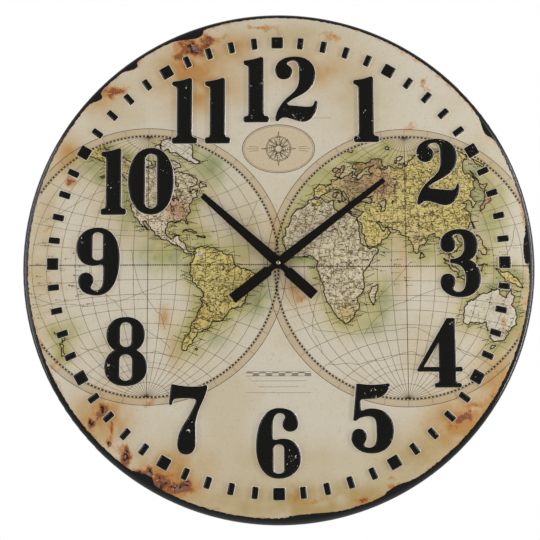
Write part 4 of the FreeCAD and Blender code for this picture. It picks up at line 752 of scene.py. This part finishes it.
for sign in (-1, 1):
    for level in (-3.0, 0.0, 3.0):
        ends = [(cx + sign * 22.5, cy + level * 0.6), (cx + sign * (36.5 - abs(level)), cy + level)]
        chart.line(ends, LIGHT, BROWN_INK)
SCALE_HALF = 36
SCALE_PART = 7.2
for part in range(10):
    left = -SCALE_HALF + part * SCALE_PART
    for level in (-123.2, -124.6) if part % 2 else (-122.0,):
        chart.line([(left, level), (left + SCALE_PART, level)], HEAVY, DARK_INK)
for level in (-120.6, -125.6):
    chart.line([(-SCALE_HALF, level), (SCALE_HALF, level)], LIGHT, DARK_INK)
for level, half in ((-131.0, 30), (-137.5, 22), (-144.0, 36)):
    chart.line([(-half, level), (half, level)], THIN, BROWN_INK)
chart.line([(-36, 166), (-20, 166.3), (0, 165.8), (36, 166.1), (62, 165.9)], THIN, FAINT_INK)

# The print: a fine polar sheet that follows the flat and the rounded edge

SECTORS = 720
FLAT_RINGS, EDGE_RINGS = 150, 9
HOLE_RADIUS = 6.0
flat_rings = np.linspace(HOLE_RADIUS, FLAT_RADIUS, FLAT_RINGS)
edge_turns = np.radians(np.linspace(4, 40, EDGE_RINGS))
radii = np.r_[flat_rings, FLAT_RADIUS + (EDGE_ROUND + PRINT_LIFT) * np.sin(edge_turns)]
lifts = np.r_[np.full(FLAT_RINGS, PRINT_LIFT), (EDGE_ROUND + PRINT_LIFT) * np.cos(edge_turns) - EDGE_ROUND]
around = np.linspace(0, 2 * math.pi, SECTORS, endpoint=False)
grid_x = (radii[:, None] * np.cos(around)).ravel()
grid_y = (radii[:, None] * np.sin(around)).ravel()
grid_lift = np.repeat(lifts, SECTORS)
index = np.arange(len(radii) * SECTORS).reshape(-1, SECTORS)
across = np.roll(index, -1, 1)
grid_faces = np.stack([index[:-1], across[:-1], across[1:], index[1:]], -1).reshape(-1, 4)

OCHRE = (176, 128, 66)
RUST = (146, 82, 44)
TAN = (168, 142, 88)
PARCHMENT = (203, 195, 176)
AGED = (186, 168, 130)
GREEN = (136, 142, 74)
DEEP_GREEN = (98, 118, 66)

# Soft stains: x, y, half sizes, colour and strength
STAINS = [
    (-96, 214, 44, 36, OCHRE, 0.8), (-45, 250, 26, 16, OCHRE, 0.55), (48, 225, 44, 24, OCHRE, 0.45),
    (95, 190, 30, 40, AGED, 0.7), (10, 262, 60, 14, AGED, 0.6), (40, -262, 120, 22, TAN, 0.75),
    (20, -215, 130, 22, AGED, 0.4), (-120, -235, 40, 28, OCHRE, 0.75), (-195, -170, 30, 26, OCHRE, 0.8),
    (205, -180, 38, 34, OCHRE, 0.8), (150, -215, 40, 30, TAN, 0.6), (242, -130, 22, 30, OCHRE, 0.55),
    (-240, 120, 18, 24, OCHRE, 0.65), (-205, 190, 22, 18, OCHRE, 0.45), (255, -60, 16, 26, RUST, 0.45),
    (137, 0, 11, 34, OCHRE, 0.4), (-37, 20, 20, 60, AGED, 0.7), (0, 20, 12, 40, OCHRE, 0.35),
    (20, -30, 14, 14, OCHRE, 0.5), (-115, -95, 9, 22, OCHRE, 0.35), (-128, -60, 6, 12, OCHRE, 0.4),
    (-84, -58, 7, 9, OCHRE, 0.45), (200, 40, 26, 50, AGED, 0.6), (-270, 0, 14, 90, AGED, 0.6),
    (60, 60, 26, 40, AGED, 0.5), (-260, 60, 10, 40, AGED, 0.5), (150, 120, 60, 20, AGED, 0.4),
    (232, 100, 20, 40, AGED, 0.5), (-150, 60, 60, 50, AGED, 0.25), (80, -150, 60, 30, PARCHMENT, 0.4),
]
# Rust: x, y, half sizes and strength; over 1 the middle turns dark and flaky
RUSTED = [
    (-98, 248, 18, 11, 1.35), (-104, 226, 12, 12, 0.9), (-78, 256, 14, 7, 1.2), (-187, 196, 13, 7, 1.2),
    (-238, 92, 8, 7, 0.95), (-20, 270, 18, 5, 0.85), (-208, -175, 7, 9, 1.5), (-198, -166, 6, 7, 1.35),
    (-188, -182, 5, 9, 1.1), (-172, -214, 13, 13, 1.35), (-148, -236, 10, 8, 1.45),
    (-128, -238, 18, 16, 1.2), (-138, -250, 14, 12, 1.3), (-112, -250, 16, 10, 1.3),
    (-192, -194, 5, 5, 1.4), (205, -172, 14, 9, 1.25), (192, -182, 9, 7, 0.95), (218, -158, 12, 6, 0.9),
    (140, -245, 22, 6, 1.1), (92, -266, 6, 6, 1.1), (238, -150, 8, 18, 0.8), (258, -128, 6, 14, 0.85),
    (148, 155, 12, 5, 0.7), (250, -70, 8, 14, 0.75), (62, 255, 10, 6, 0.7), (-262, -30, 5, 12, 0.7),
    (-266, 42, 4, 8, 0.75), (170, 205, 8, 8, 0.7), (-146, -152, 9, 6, 0.7), (30, -262, 26, 5, 0.7),
    (24, -40, 9, 6, 0.75), (-252, -112, 5, 9, 0.7),
]
# Where the black of the edge has crept or peeled inwards: x, y, half sizes and strength
PEELED = [
    (143, -250, 17, 6, 1.1), (-150, -236, 16, 5, 0.9), (-96, 262, 17, 5, 0.9), (276, 12, 4, 18, 0.8),
    (-205, 190, 10, 4, 0.8), (-166, 226, 9, 4, 0.7), (40, -277, 30, 3, 0.5), (236, 150, 6, 12, 0.6),
]
PEEL_REACH = 9
# How busy the drawing is on lands of the paler washes
DETAIL = {"pale": 0.25, "cream": 0.85}
# Green washes out at sea: x, y, half sizes and strength
SHALLOWS = [
    (106, 116, 32, 12, 1.0), (48, 92, 22, 22, 0.9), (26, 62, 12, 24, 0.8), (115, 22, 12, 16, 0.9),
    (110, -44, 14, 24, 0.9), (92, -66, 26, 12, 0.7), (163, 16, 14, 12, 0.9), (238, 62, 14, 34, 0.9),
    (243, -40, 10, 30, 0.7), (-172, 66, 9, 22, 0.9), (-124, 12, 26, 16, 0.8), (-80, 108, 16, 20, 0.8),
    (-30, -34, 16, 18, 1.0), (-92, -52, 9, 30, 0.8), (-52, 14, 20, 12, 0.7), (-205, 112, 20, 9, 0.8),
    (-72, -72, 16, 16, 0.8), (66, -8, 10, 16, 0.6), (-236, -76, 12, 12, 0.7), (190, 118, 26, 10, 0.7),
]


def envelope(x, y, spots):
    """The strongest of a list of soft ellipses at each point."""
    value = np.zeros(len(x))
    for cx, cy, half_x, half_y, strength in spots:
        away = ((x - cx) / half_x) ** 2 + ((y - cy) / half_y) ** 2
        value = np.maximum(value, strength * np.exp(-0.7 * away))
    return value


RAGGED = 26


def rusting(x, y):
    """The rust's envelope, with its round spots pulled into ragged shapes."""
    aside = (cloud(x, y, 15, 950, 4) - 0.5) * RAGGED
    upward = (cloud(x, y, 15, 957, 4) - 0.5) * RAGGED
    return envelope(x + aside, y + upward, RUSTED)


def washed(x, y, start):
    """Parchment with its stains, as linear colours."""
    colour = np.tile(np.array(start, float), (len(x), 1))
    aged = cloud(x, y, 70, 900)[:, None]
    colour = colour + (np.array(AGED) - colour) * np.clip((aged - 0.5) * 1.5, 0, 0.4)
    for number, (cx, cy, half_x, half_y, tint, share) in enumerate(STAINS):
        away = ((x - cx) / half_x) ** 2 + ((y - cy) / half_y) ** 2
        patchy = 0.2 + 1.5 * cloud(x, y, 16, 500 + number, 4)
        weight = np.clip(1.3 * share * np.exp(-away) * patchy, 0, 0.92)[:, None]
        colour = colour + (np.array(tint) - colour) * weight
    return colour


def linear(colour):
    share = np.clip(colour, 0, 255) / 255
    return np.where(share > 0.04045, ((share + 0.055) / 1.055) ** 2.4, share / 12.92)


def haze(size, seed, octaves=3):
    return cloud(grid_x, grid_y, size, seed, octaves)


land, owner = from_shore(grid_x, grid_y)
globe_away = np.minimum(*[np.hypot(grid_x - g[0], grid_y - g[1]) for g in GLOBES.values()])
in_globe = globe_away < GLOBE_RADIUS
land = np.where(in_globe, land, -9.0)
sea = washed(grid_x, grid_y, PARCHMENT)
green = np.exp(-(np.maximum(-land, 0) / 8.5) ** 2.2)
green = green * np.clip(haze(52, 701) * 2.6 - 0.45, 0, 1)
patches = envelope(grid_x + (haze(12, 710, 4) - 0.5) * 14, grid_y, SHALLOWS)
green = np.maximum(green, np.clip(patches * (0.4 + haze(14, 711, 4)), 0, 1))
green = np.where(in_globe & (land < 0), green, 0)[:, None]
tint = np.where(haze(40, 702)[:, None] > 0.55, np.array(DEEP_GREEN, float),
                np.array(GREEN, float))
sea = sea + (tint - sea) * green * 0.9
tan_band = np.exp(-(np.maximum(-land - 3, 0) / 14) ** 2)[:, None] * np.where(in_globe, 0.4, 0)[:, None]
sea = sea + (np.array(WASHES["sand"]) - sea) * tan_band
washes = [wash for _, wash, _, _ in coasts]
ground = np.array([WASHES[wash] for wash in washes], float)[owner]
detail = np.array([DETAIL.get(wash, 1.0) for wash in washes])[owner]
for side, longitude, latitude, reach, wash in REGIONS:
    x, y = spots(side, [longitude], [latitude])[0]
    away = np.hypot(grid_x - x, grid_y - y) / reach
    weight = np.clip(np.exp(-away ** 2) * 1.3, 0, 1)[:, None]
    ground = ground + (np.array(WASHES[wash]) - ground) * weight
ground = ground * (0.93 + 0.12 * haze(9, 800))[:, None]
mix_down = 0.3 * np.clip(haze(30, 801) * 2 - 0.7, 0, 1)[:, None]
ground = ground + (washed(grid_x, grid_y, ground.mean(0)) - ground) * mix_down
band = 4.5 - abs(globe_away - (GLOBE_RADIUS + BAND_RADIUS) / 2)
oval = 1 - np.hypot((grid_x - cx) / wide, (grid_y - cy) / high)
edge = PRINT_RADIUS - np.hypot(grid_x, grid_y - PRINT_RAISED)
edge = edge - PEEL_REACH * envelope(grid_x, grid_y, PEELED)
rust = rusting(grid_x, grid_y)
rim_wear = np.clip(1 - edge / 10, 0, 1) * haze(26, 960) * 0.9
rust = np.maximum(rust, rim_wear)


# Drawn borders on the lands: size of a cell, share of it that is line, strength and ink
BORDERS = [
    (15.0, 0.035, 0.8, (112, 98, 30)), (9.0, 0.035, 0.85, (58, 40, 22)), (5.5, 0.045, 0.4, (54, 36, 20)),
]
INK_SPECULAR = 0.3


def print_look():
    look = Look("map_paper")
    fine = look.noise(0.9, 4.0, 0.7)
    middle = look.noise(5.0, 5.0, 0.65)
    base = look.mix(look.between(look.attribute("land"), -0.12, 0.12), look.attribute("sea_tint", "Color"),
                    look.attribute("land_tint", "Color"))
    base = look.mix(look.between(look.attribute("band"), 0.0, 0.35, 0.0, 0.5), base, srgb(172, 148, 104))
    base = look.mix(look.between(look.attribute("oval"), 0.0, 0.02, 0.0, 0.5), base, srgb(190, 164, 120))
    base = look.mix(look.between(fine, 0.3, 0.72, 0.0, 0.16), base, srgb(120, 92, 56))
    base = look.mix(look.between(middle, 0.52, 0.75, 0.0, 0.2), base, srgb(160, 130, 84))
    on_land = look.times(look.between(look.attribute("land"), 0.4, 1.0), look.attribute("detail"))
    bends = look.warped(7.0, 6.0)
    for size, width, share, ink in BORDERS:
        drawn = look.between(look.cells(size, bends, borders=True), width * 0.6, width * 1.2, 1.0, 0.0)
        broken = look.between(look.noise(size * 0.9, 2.0, 0.5), 0.45, 0.5)
        drawn = look.times(look.times(drawn, broken), on_land)
        base = look.mix(look.times(drawn, share), base, srgb(*ink))
    strokes = look.noise(2.4, 2.0, 0.5, look.stretched(0.55, 1.0, 1.8))
    strokes = look.times(look.between(strokes, 0.65, 0.68), on_land)
    base = look.mix(look.times(strokes, 0.6), base, srgb(52, 36, 20))
    flecks = look.between(look.noise(2.2, 2.0, 0.5), 0.68, 0.74)
    base = look.mix(look.times(flecks, 0.35), base, srgb(120, 84, 46))
    ragged = look.times(look.noise(2.4, 5.0, 0.7), 0.45)
    ragged = look.plus(look.noise(10.0, 8.0, 0.75), ragged)
    eaten = look.plus(look.attribute("rust"), look.times(ragged, 1.7))
    orange = look.between(eaten, 1.6, 2.05)
    brown = look.between(eaten, 2.02, 2.2)
    dark = look.between(eaten, 2.34, 2.42)
    base = look.mix(look.times(orange, 0.85), base, srgb(176, 122, 62))
    base = look.mix(look.times(brown, 0.9), base, srgb(130, 68, 36))
    base = look.mix(dark, base, srgb(56, 24, 14))
    flakes = look.cells(3.2, look.warped(4.0, 3.0), "Color")
    flaking = look.times(dark, look.between(flakes, 0.52, 0.56))
    base = look.mix(flaking, base, srgb(124, 98, 92))
    bare = look.times(brown, look.between(look.noise(3.0, 4.0, 0.6), 0.63, 0.65))
    base = look.mix(bare, base, srgb(196, 176, 136))
    chipped = look.plus(look.attribute("edge"), look.times(look.noise(5.0, 6.0, 0.75), 5.0))
    black = look.between(chipped, 2.3, 2.6, 1.0, 0.0)
    base = look.mix(black, base, srgb(12, 11, 10))
    rough = look.between(fine, 0.3, 0.7, 0.36, 0.5)
    shine = look.math("MAXIMUM", black, dark)
    look.set(Base_Color=base, Roughness=look.mix_value(shine, rough, 0.2), Specular_IOR_Level=INK_SPECULAR)
    height = look.plus(look.times(fine, 0.25), look.times(dark, 0.8))
    look.bump(look.plus(height, look.times(black, 0.8)), 0.06, 0.6)
    return look.material


paper = new_piece("map_print", world(grid_x, grid_y, grid_lift), grid_faces.tolist(), print_look())
for name, values in (("land", land), ("detail", detail), ("band", band), ("oval", oval), ("edge", edge),
                     ("rust", rust), ("sea_tint", linear(sea)), ("land_tint", linear(ground))):
    give(paper, name, values)


def ink_look():
    look = Look("printing_ink")
    fade = look.between(look.noise(3.0, 5.0, 0.7), 0.4, 0.75, 0.0, 0.28)
    base = look.mix(fade, look.attribute("ink", "Color"), srgb(168, 146, 106))
    rough = look.between(look.noise(0.9), 0.3, 0.7, 0.36, 0.5)
    look.set(Base_Color=base, Roughness=rough, Specular_IOR_Level=INK_SPECULAR)
    return look.material


EATEN_FROM = 0.95


def clear_of_rust(art):
    """Takes out of the lines what dark rust has eaten."""
    middles = [p.reshape(2, -1, 3).mean(0) for p in art.points]
    points, faces, colours, count = [], [], [], 0
    for spots, middle, quads, shades in zip(art.points, middles, art.faces, art.colours):
        x, y = middle[:, 0] / MM - DIAL_X, middle[:, 2] / MM - DIAL_Z
        if rusting(x, y).max() < EATEN_FROM:
            points.append(spots)
            faces.append(quads - quads.min() + count)
            colours.append(shades)
            count += len(spots)
    art.points, art.faces, art.colours = points, faces, colours


ink = ink_look()
for art in (chart, shapes):
    clear_of_rust(art)
chart.piece("map_graticule", ink)
shapes.piece("map_coastlines", ink)

# The pressed dial: the pan of the frame, and its raised numerals and marks with sloped enamel sides

dial = frame["nodes"]["dial_plate"]
source = bmesh.new()
source.from_mesh(dial.data)
bmesh.ops.remove_doubles(source, verts=source.verts, dist=1e-6)
source.verts.ensure_lookup_table()
TOP_Y = dial_low[1]
FACE = FACE_Y * MM
LEVEL_SLACK = 2e-5


def at_level(vertex, level):
    return abs(vertex.co.y - level) < LEVEL_SLACK


raised = [f for f in source.faces if all(at_level(v, TOP_Y) for v in f.verts)]
# The enamel's section from its foot to its top: how far it is drawn in, and its height
SECTION = [(-1.0, 0.03), (-0.5, 0.45), (0.0, 0.95), (0.45, 1.35), (0.9, 1.64), (1.4, RELIEF_RISE)]
# The rise below which the enamel's slope is pale parchment: print on the slope's foot, made paler than the
# face as a painted highlight along the relief
BLACK_FROM = 0.5
SHARPEST_MITRE = 0.6
ENAMEL_CREASE, PAN_CREASE = math.radians(48), math.radians(40)
MARKS_FROM = 245.5


def raised_enamel(faces, name, material):
    inward, open_edges = {}, []
    kept = set(faces)
    for face in faces:
        for loop in face.loops:
            others = [f for f in loop.edge.link_faces if f in kept]
            if len(others) != 1:
                continue
            a, b = loop.vert, loop.link_loop_next.vert
            way = (b.co - a.co).normalized()
            side = face.normal.cross(way)
            open_edges.append((a, b))
            for vertex in (a, b):
                inward.setdefault(vertex, []).append(side)
    points, heights, rings = [], [], {}
    for vertex, sides in inward.items():
        total = sum(sides, Vector())
        if total.length < 1e-6:
            total = sides[0]
        mitre = total.normalized()
        mitre = mitre / max(mitre.dot(sides[0]), SHARPEST_MITRE)
        rings[vertex] = []
        for reach, height in SECTION:
            spot = vertex.co + mitre * reach * MM
            spot.y = FACE - height * MM
            rings[vertex].append(len(points))
            points.append(spot)
            heights.append(height)
    made = []
    for a, b in open_edges:
        for k in range(len(SECTION) - 1):
            made.append((rings[a][k], rings[b][k], rings[b][k + 1], rings[a][k + 1]))
    for face in faces:
        corners = []
        for vertex in face.verts:
            if vertex not in rings:
                rings[vertex] = [len(points)]
                points.append(vertex.co)
                heights.append(RELIEF_RISE)
            corners.append(rings[vertex][-1])
        made.append(corners)
    mesh = new_piece(name, points, made, material)
    give(mesh, "rise", heights)
    mesh.set_sharp_from_angle(angle=ENAMEL_CREASE)


def enamel_look(name, chips):
    look = Look(name)
    fine = look.noise(0.5, 3.0, 0.6)
    ripple = look.noise(3.5, 2.0, 0.5)
    base = look.mix(look.between(ripple, 0.3, 0.7), srgb(5, 5, 3), srgb(10, 9, 7))
    if chips:
        lost = look.times(look.between(look.noise(chips, 5.0, 0.7), 0.64, 0.655),
                         look.between(look.noise(34.0, 1.0, 0.4), 0.56, 0.6))
        # Chips show the cream ground as real wear; the strip below BLACK_FROM is print made paler and
        # glossy, a painted highlight along the relief's foot
        print_and_highlight_foot = look.between(look.attribute("rise"), BLACK_FROM - 0.08, BLACK_FROM + 0.08, 1.0, 0.0)
        base = look.mix(look.math("MAXIMUM", lost, print_and_highlight_foot), base, srgb(206, 198, 180))
    look.set(Base_Color=base, Roughness=look.between(fine, 0.3, 0.7, 0.13, 0.2), Specular_IOR_Level=0.22)
    look.bump(look.plus(look.times(fine, 0.1), ripple), 0.05, 0.5)
    return look.material


def middle_radius(face):
    centre = face.calc_center_median()
    return math.hypot(centre.x / MM - DIAL_X, centre.z / MM - DIAL_Z)


numerals = [f for f in raised if middle_radius(f) < MARKS_FROM]
marks = [f for f in raised if middle_radius(f) >= MARKS_FROM]
raised_enamel(numerals, "raised_numerals", enamel_look("numeral_enamel", 4.2))
raised_enamel(marks, "raised_marks", enamel_look("mark_enamel", 3.4))

# Painted backs of the relief, close behind the print, so that no paper shows in the hollows from behind
back_paint = finish_look("pan_back_paint", (52, 52, 54), (74, 73, 72), 0.5, 0.0, 0.8, 0.02,
                         wear=(104, 92, 78))
BACKS_LIFT = 0.02
corners = {}
for face in raised:
    for vertex in face.verts:
        corners.setdefault(vertex, len(corners))
backs = np.array([vertex.co for vertex in corners])
backs[:, 1] = FACE - BACKS_LIFT * MM
new_piece("relief_backs", backs, [[corners[v] for v in face.verts][::-1] for face in raised], back_paint)

fronts = [f for f in source.faces if any(at_level(v, TOP_Y) for v in f.verts)
          and all(at_level(v, TOP_Y) or at_level(v, FACE) for v in f.verts)]
bmesh.ops.delete(source, geom=fronts, context="FACES")
back_level = FACE + SHEET * MM
for face in source.faces:
    centre = face.calc_center_median()
    outward = Vector((centre.x - DIAL_X * MM, 0, centre.z - DIAL_Z * MM)).normalized()
    behind = face.normal.y > 0.3 or face.normal.dot(outward) < -0.1
    inside = TOP_Y + LEVEL_SLACK < centre.y < back_level + LEVEL_SLACK
    hollow = inside and not at_level(face.verts[0], FACE)
    face.material_index = 1 if behind or hollow else 0
    face.smooth = True
pan_mesh = bpy.data.meshes.new("dial_pan")
source.to_mesh(pan_mesh)
source.free()
pan_mesh.materials.append(enamel_look("edge_enamel", 0))
pan_mesh.materials.append(back_paint)
pan_mesh.set_sharp_from_angle(angle=PAN_CREASE)
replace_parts(placed("dial_pan", pan_mesh), "dial_plate")

# Finishes of the other pieces

# Each finish: its name, two tones, roughness, metal, grain and depth in millimetres, then the way it is
# brushed, the colour where it is worn and the share of gloss, where they differ from the usual
FINISHES = {
    "hand_black": ("hand_paint", (8, 7, 6), (16, 14, 12), 0.36, 0.0, 0.5, 0.012, None, (34, 30,
        26), 0.14),
    "bright_nickel": ("nickel", (124, 121, 98), (152, 149, 126), 0.2, 1.0, 0.25, 0.003),
    "bracket_steel": ("zinc_plate", (168, 168, 164), (196, 194, 186), 0.34, 1.0, 1.6, 0.008, None,
        (150, 132, 96)),
    "brass": ("brass", (176, 138, 66), (208, 172, 96), 0.28, 1.0, 0.3, 0.005, (1, 6, 1)),
    "seal_rubber": ("rubber", (28, 28, 28), (44, 43, 42), 0.75, 0.0, 0.35, 0.03),
    "case_plastic": ("case_plastic", (26, 26, 27), (38, 38, 39), 0.48, 0.0, 0.25, 0.02),
    "plate_plastic": ("plate_plastic", (214, 210, 198), (228, 225, 214), 0.42, 0.0, 0.5, 0.008),
    "wheel_plastic": ("wheel_plastic", (222, 219, 204), (236, 232, 218), 0.3, 0.0, 0.4, 0.005),
    "knob_plastic": ("knob_plastic", (150, 30, 24), (176, 44, 34), 0.36, 0.0, 0.3, 0.01),
    "spring_steel": ("spring_steel", (176, 176, 176), (206, 205, 202), 0.24, 1.0, 0.4, 0.004),
    "magnet": ("ferrite", (52, 52, 56), (72, 72, 76), 0.55, 0.4, 0.2, 0.012),
    "motor_steel": ("motor_steel", (150, 150, 152), (184, 183, 180), 0.32, 1.0, 0.5, 0.006, (8, 1, 1)),
    "coil_copper": ("magnet_wire", (150, 78, 36), (196, 112, 56), 0.26, 0.85, 0.12, 0.02, (14, 1, 1)),
    "board_green": ("solder_mask", (24, 84, 48), (34, 104, 60), 0.3, 0.0, 0.7, 0.008, (1, 1, 5)),
    "chip_black": ("epoxy", (18, 18, 19), (28, 28, 30), 0.2, 0.0, 0.4, 0.01),
    "battery_steel": ("cell_steel", (186, 186, 184), (214, 212, 208), 0.22, 1.0, 0.5, 0.003, (6, 1, 1)),
    "battery_wrap": ("cell_film", (38, 44, 52), (52, 58, 66), 0.22, 0.0, 0.9, 0.004),
}
looks = {slot: finish_look(*row) for slot, row in FINISHES.items()}
slot_of = {row["node"]: row["material_slot"] for row in frame["record"]["subparts"]}
for name, node in frame["nodes"].items():
    if slot_of[name] in looks:
        for holder in node.material_slots:
            holder.material = looks[slot_of[name]]

# Floor, lights and camera

FLOOR_DROP = 1.25
FLOOR_RADIUS = 2.7
FLOOR_SIDES = 96
# The studio's wall behind the clock is white, and the room where the viewer stands is dimmer
ROOM_LIGHT = 0.45
DIMMING = (-0.1, 0.6)
floor_z = cad_low[2] - FLOOR_DROP
floor_look = finish_look("studio_floor", (253, 253, 253), (255, 255, 255), 0.8, 0.0, 30.0, 0.0)
floor_mesh = bmesh.new()
bmesh.ops.create_circle(floor_mesh, cap_ends=True, segments=FLOOR_SIDES, radius=FLOOR_RADIUS,
                        matrix=Matrix.Translation((0, 0, floor_z)))
floor_data = bpy.data.meshes.new("studio_floor")
floor_mesh.to_mesh(floor_data)
floor_mesh.free()
floor_data.materials.append(floor_look)
floor = bpy.data.objects.new("studio_floor", floor_data)
bpy.context.scene.collection.objects.link(floor)
floor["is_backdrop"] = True

scene = bpy.context.scene
scene.view_settings.view_transform = "Standard"
sky = bpy.data.worlds.new("studio")
scene.world = sky
sky.use_nodes = True
backdrop = sky.node_tree.nodes["Background"]
backdrop.inputs["Color"].default_value = (1.0, 1.0, 1.0, 1.0)
way = sky.node_tree.nodes.new("ShaderNodeTexCoord")
split = sky.node_tree.nodes.new("ShaderNodeSeparateXYZ")
fading = sky.node_tree.nodes.new("ShaderNodeMapRange")
for socket, number in (("From Min", DIMMING[0]), ("From Max", DIMMING[1]), ("To Min", ROOM_LIGHT)):
    fading.inputs[socket].default_value = number
sky.node_tree.links.new(way.outputs["Generated"], split.inputs[0])
sky.node_tree.links.new(split.outputs["Y"], fading.inputs["Value"])
sky.node_tree.links.new(fading.outputs[0], backdrop.inputs["Strength"])
centre = Vector(((cad_low[0] + cad_high[0]) / 2, FACE, DIAL_Z * MM))
# Each lamp: its place about the dial's centre, width and height in metres, and watts
LAMPS = {
    "left_box": ((-1.35, -1.05, 0.25), 0.5, 1.2, 7.0), "right_box": ((1.35, -1.05, 0.35), 0.5, 1.2, 8.0),
    "left_strip": ((-1.25, -0.3, 0.1), 0.1, 1.3, 6.0), "right_strip": ((1.25, -0.3, 0.0), 0.1, 1.3, 12.0),
}
for name, (shift, width, depth, power) in LAMPS.items():
    light = bpy.data.lights.new(name, "AREA")
    light.shape = "RECTANGLE"
    light.size, light.size_y = width, depth
    light.energy = power
    lamp = bpy.data.objects.new(name, light)
    lamp.location = centre + Vector(shift)
    lamp.rotation_euler = (centre - lamp.location).to_track_quat("-Z", "Y").to_euler()
    scene.collection.objects.link(lamp)

# The camera's turns about the dial's own axes, its distance and offset in millimetres, and the scale
TILT, YAW, ROLL = (math.radians(angle) for angle in (-3.738, -0.380, 0.210))
DISTANCE = 698.95
ASIDE, BELOW = 9.25, 7.64
PIXELS_PER_MM = 0.88981
IMAGE_SIDE = 540
SENSOR_WIDTH = 36.0
turned = Matrix.Rotation(ROLL, 3, "Z") @ Matrix.Rotation(TILT, 3, "X") @ Matrix.Rotation(YAW, 3, "Y")
seat = turned.transposed() @ Vector((-ASIDE, -BELOW, DISTANCE))


def upright(vector):
    return Vector((vector[0], -vector[2], vector[1]))


axes = [upright(turned[row]) for row in range(3)]
camera_data = bpy.data.cameras.new("camera")
camera_data.sensor_width = SENSOR_WIDTH
camera_data.lens = SENSOR_WIDTH * PIXELS_PER_MM * DISTANCE / IMAGE_SIDE
camera = bpy.data.objects.new("camera", camera_data)
scene.collection.objects.link(camera)
pose = Matrix(axes).transposed().to_4x4()
pose.translation = (upright(seat) + Vector((DIAL_X, FACE_Y, DIAL_Z))) * MM
camera.matrix_world = pose
scene.camera = camera

low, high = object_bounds()
{"cad": [list(cad_low), list(cad_high)], "visual": [list(low), list(high)]}
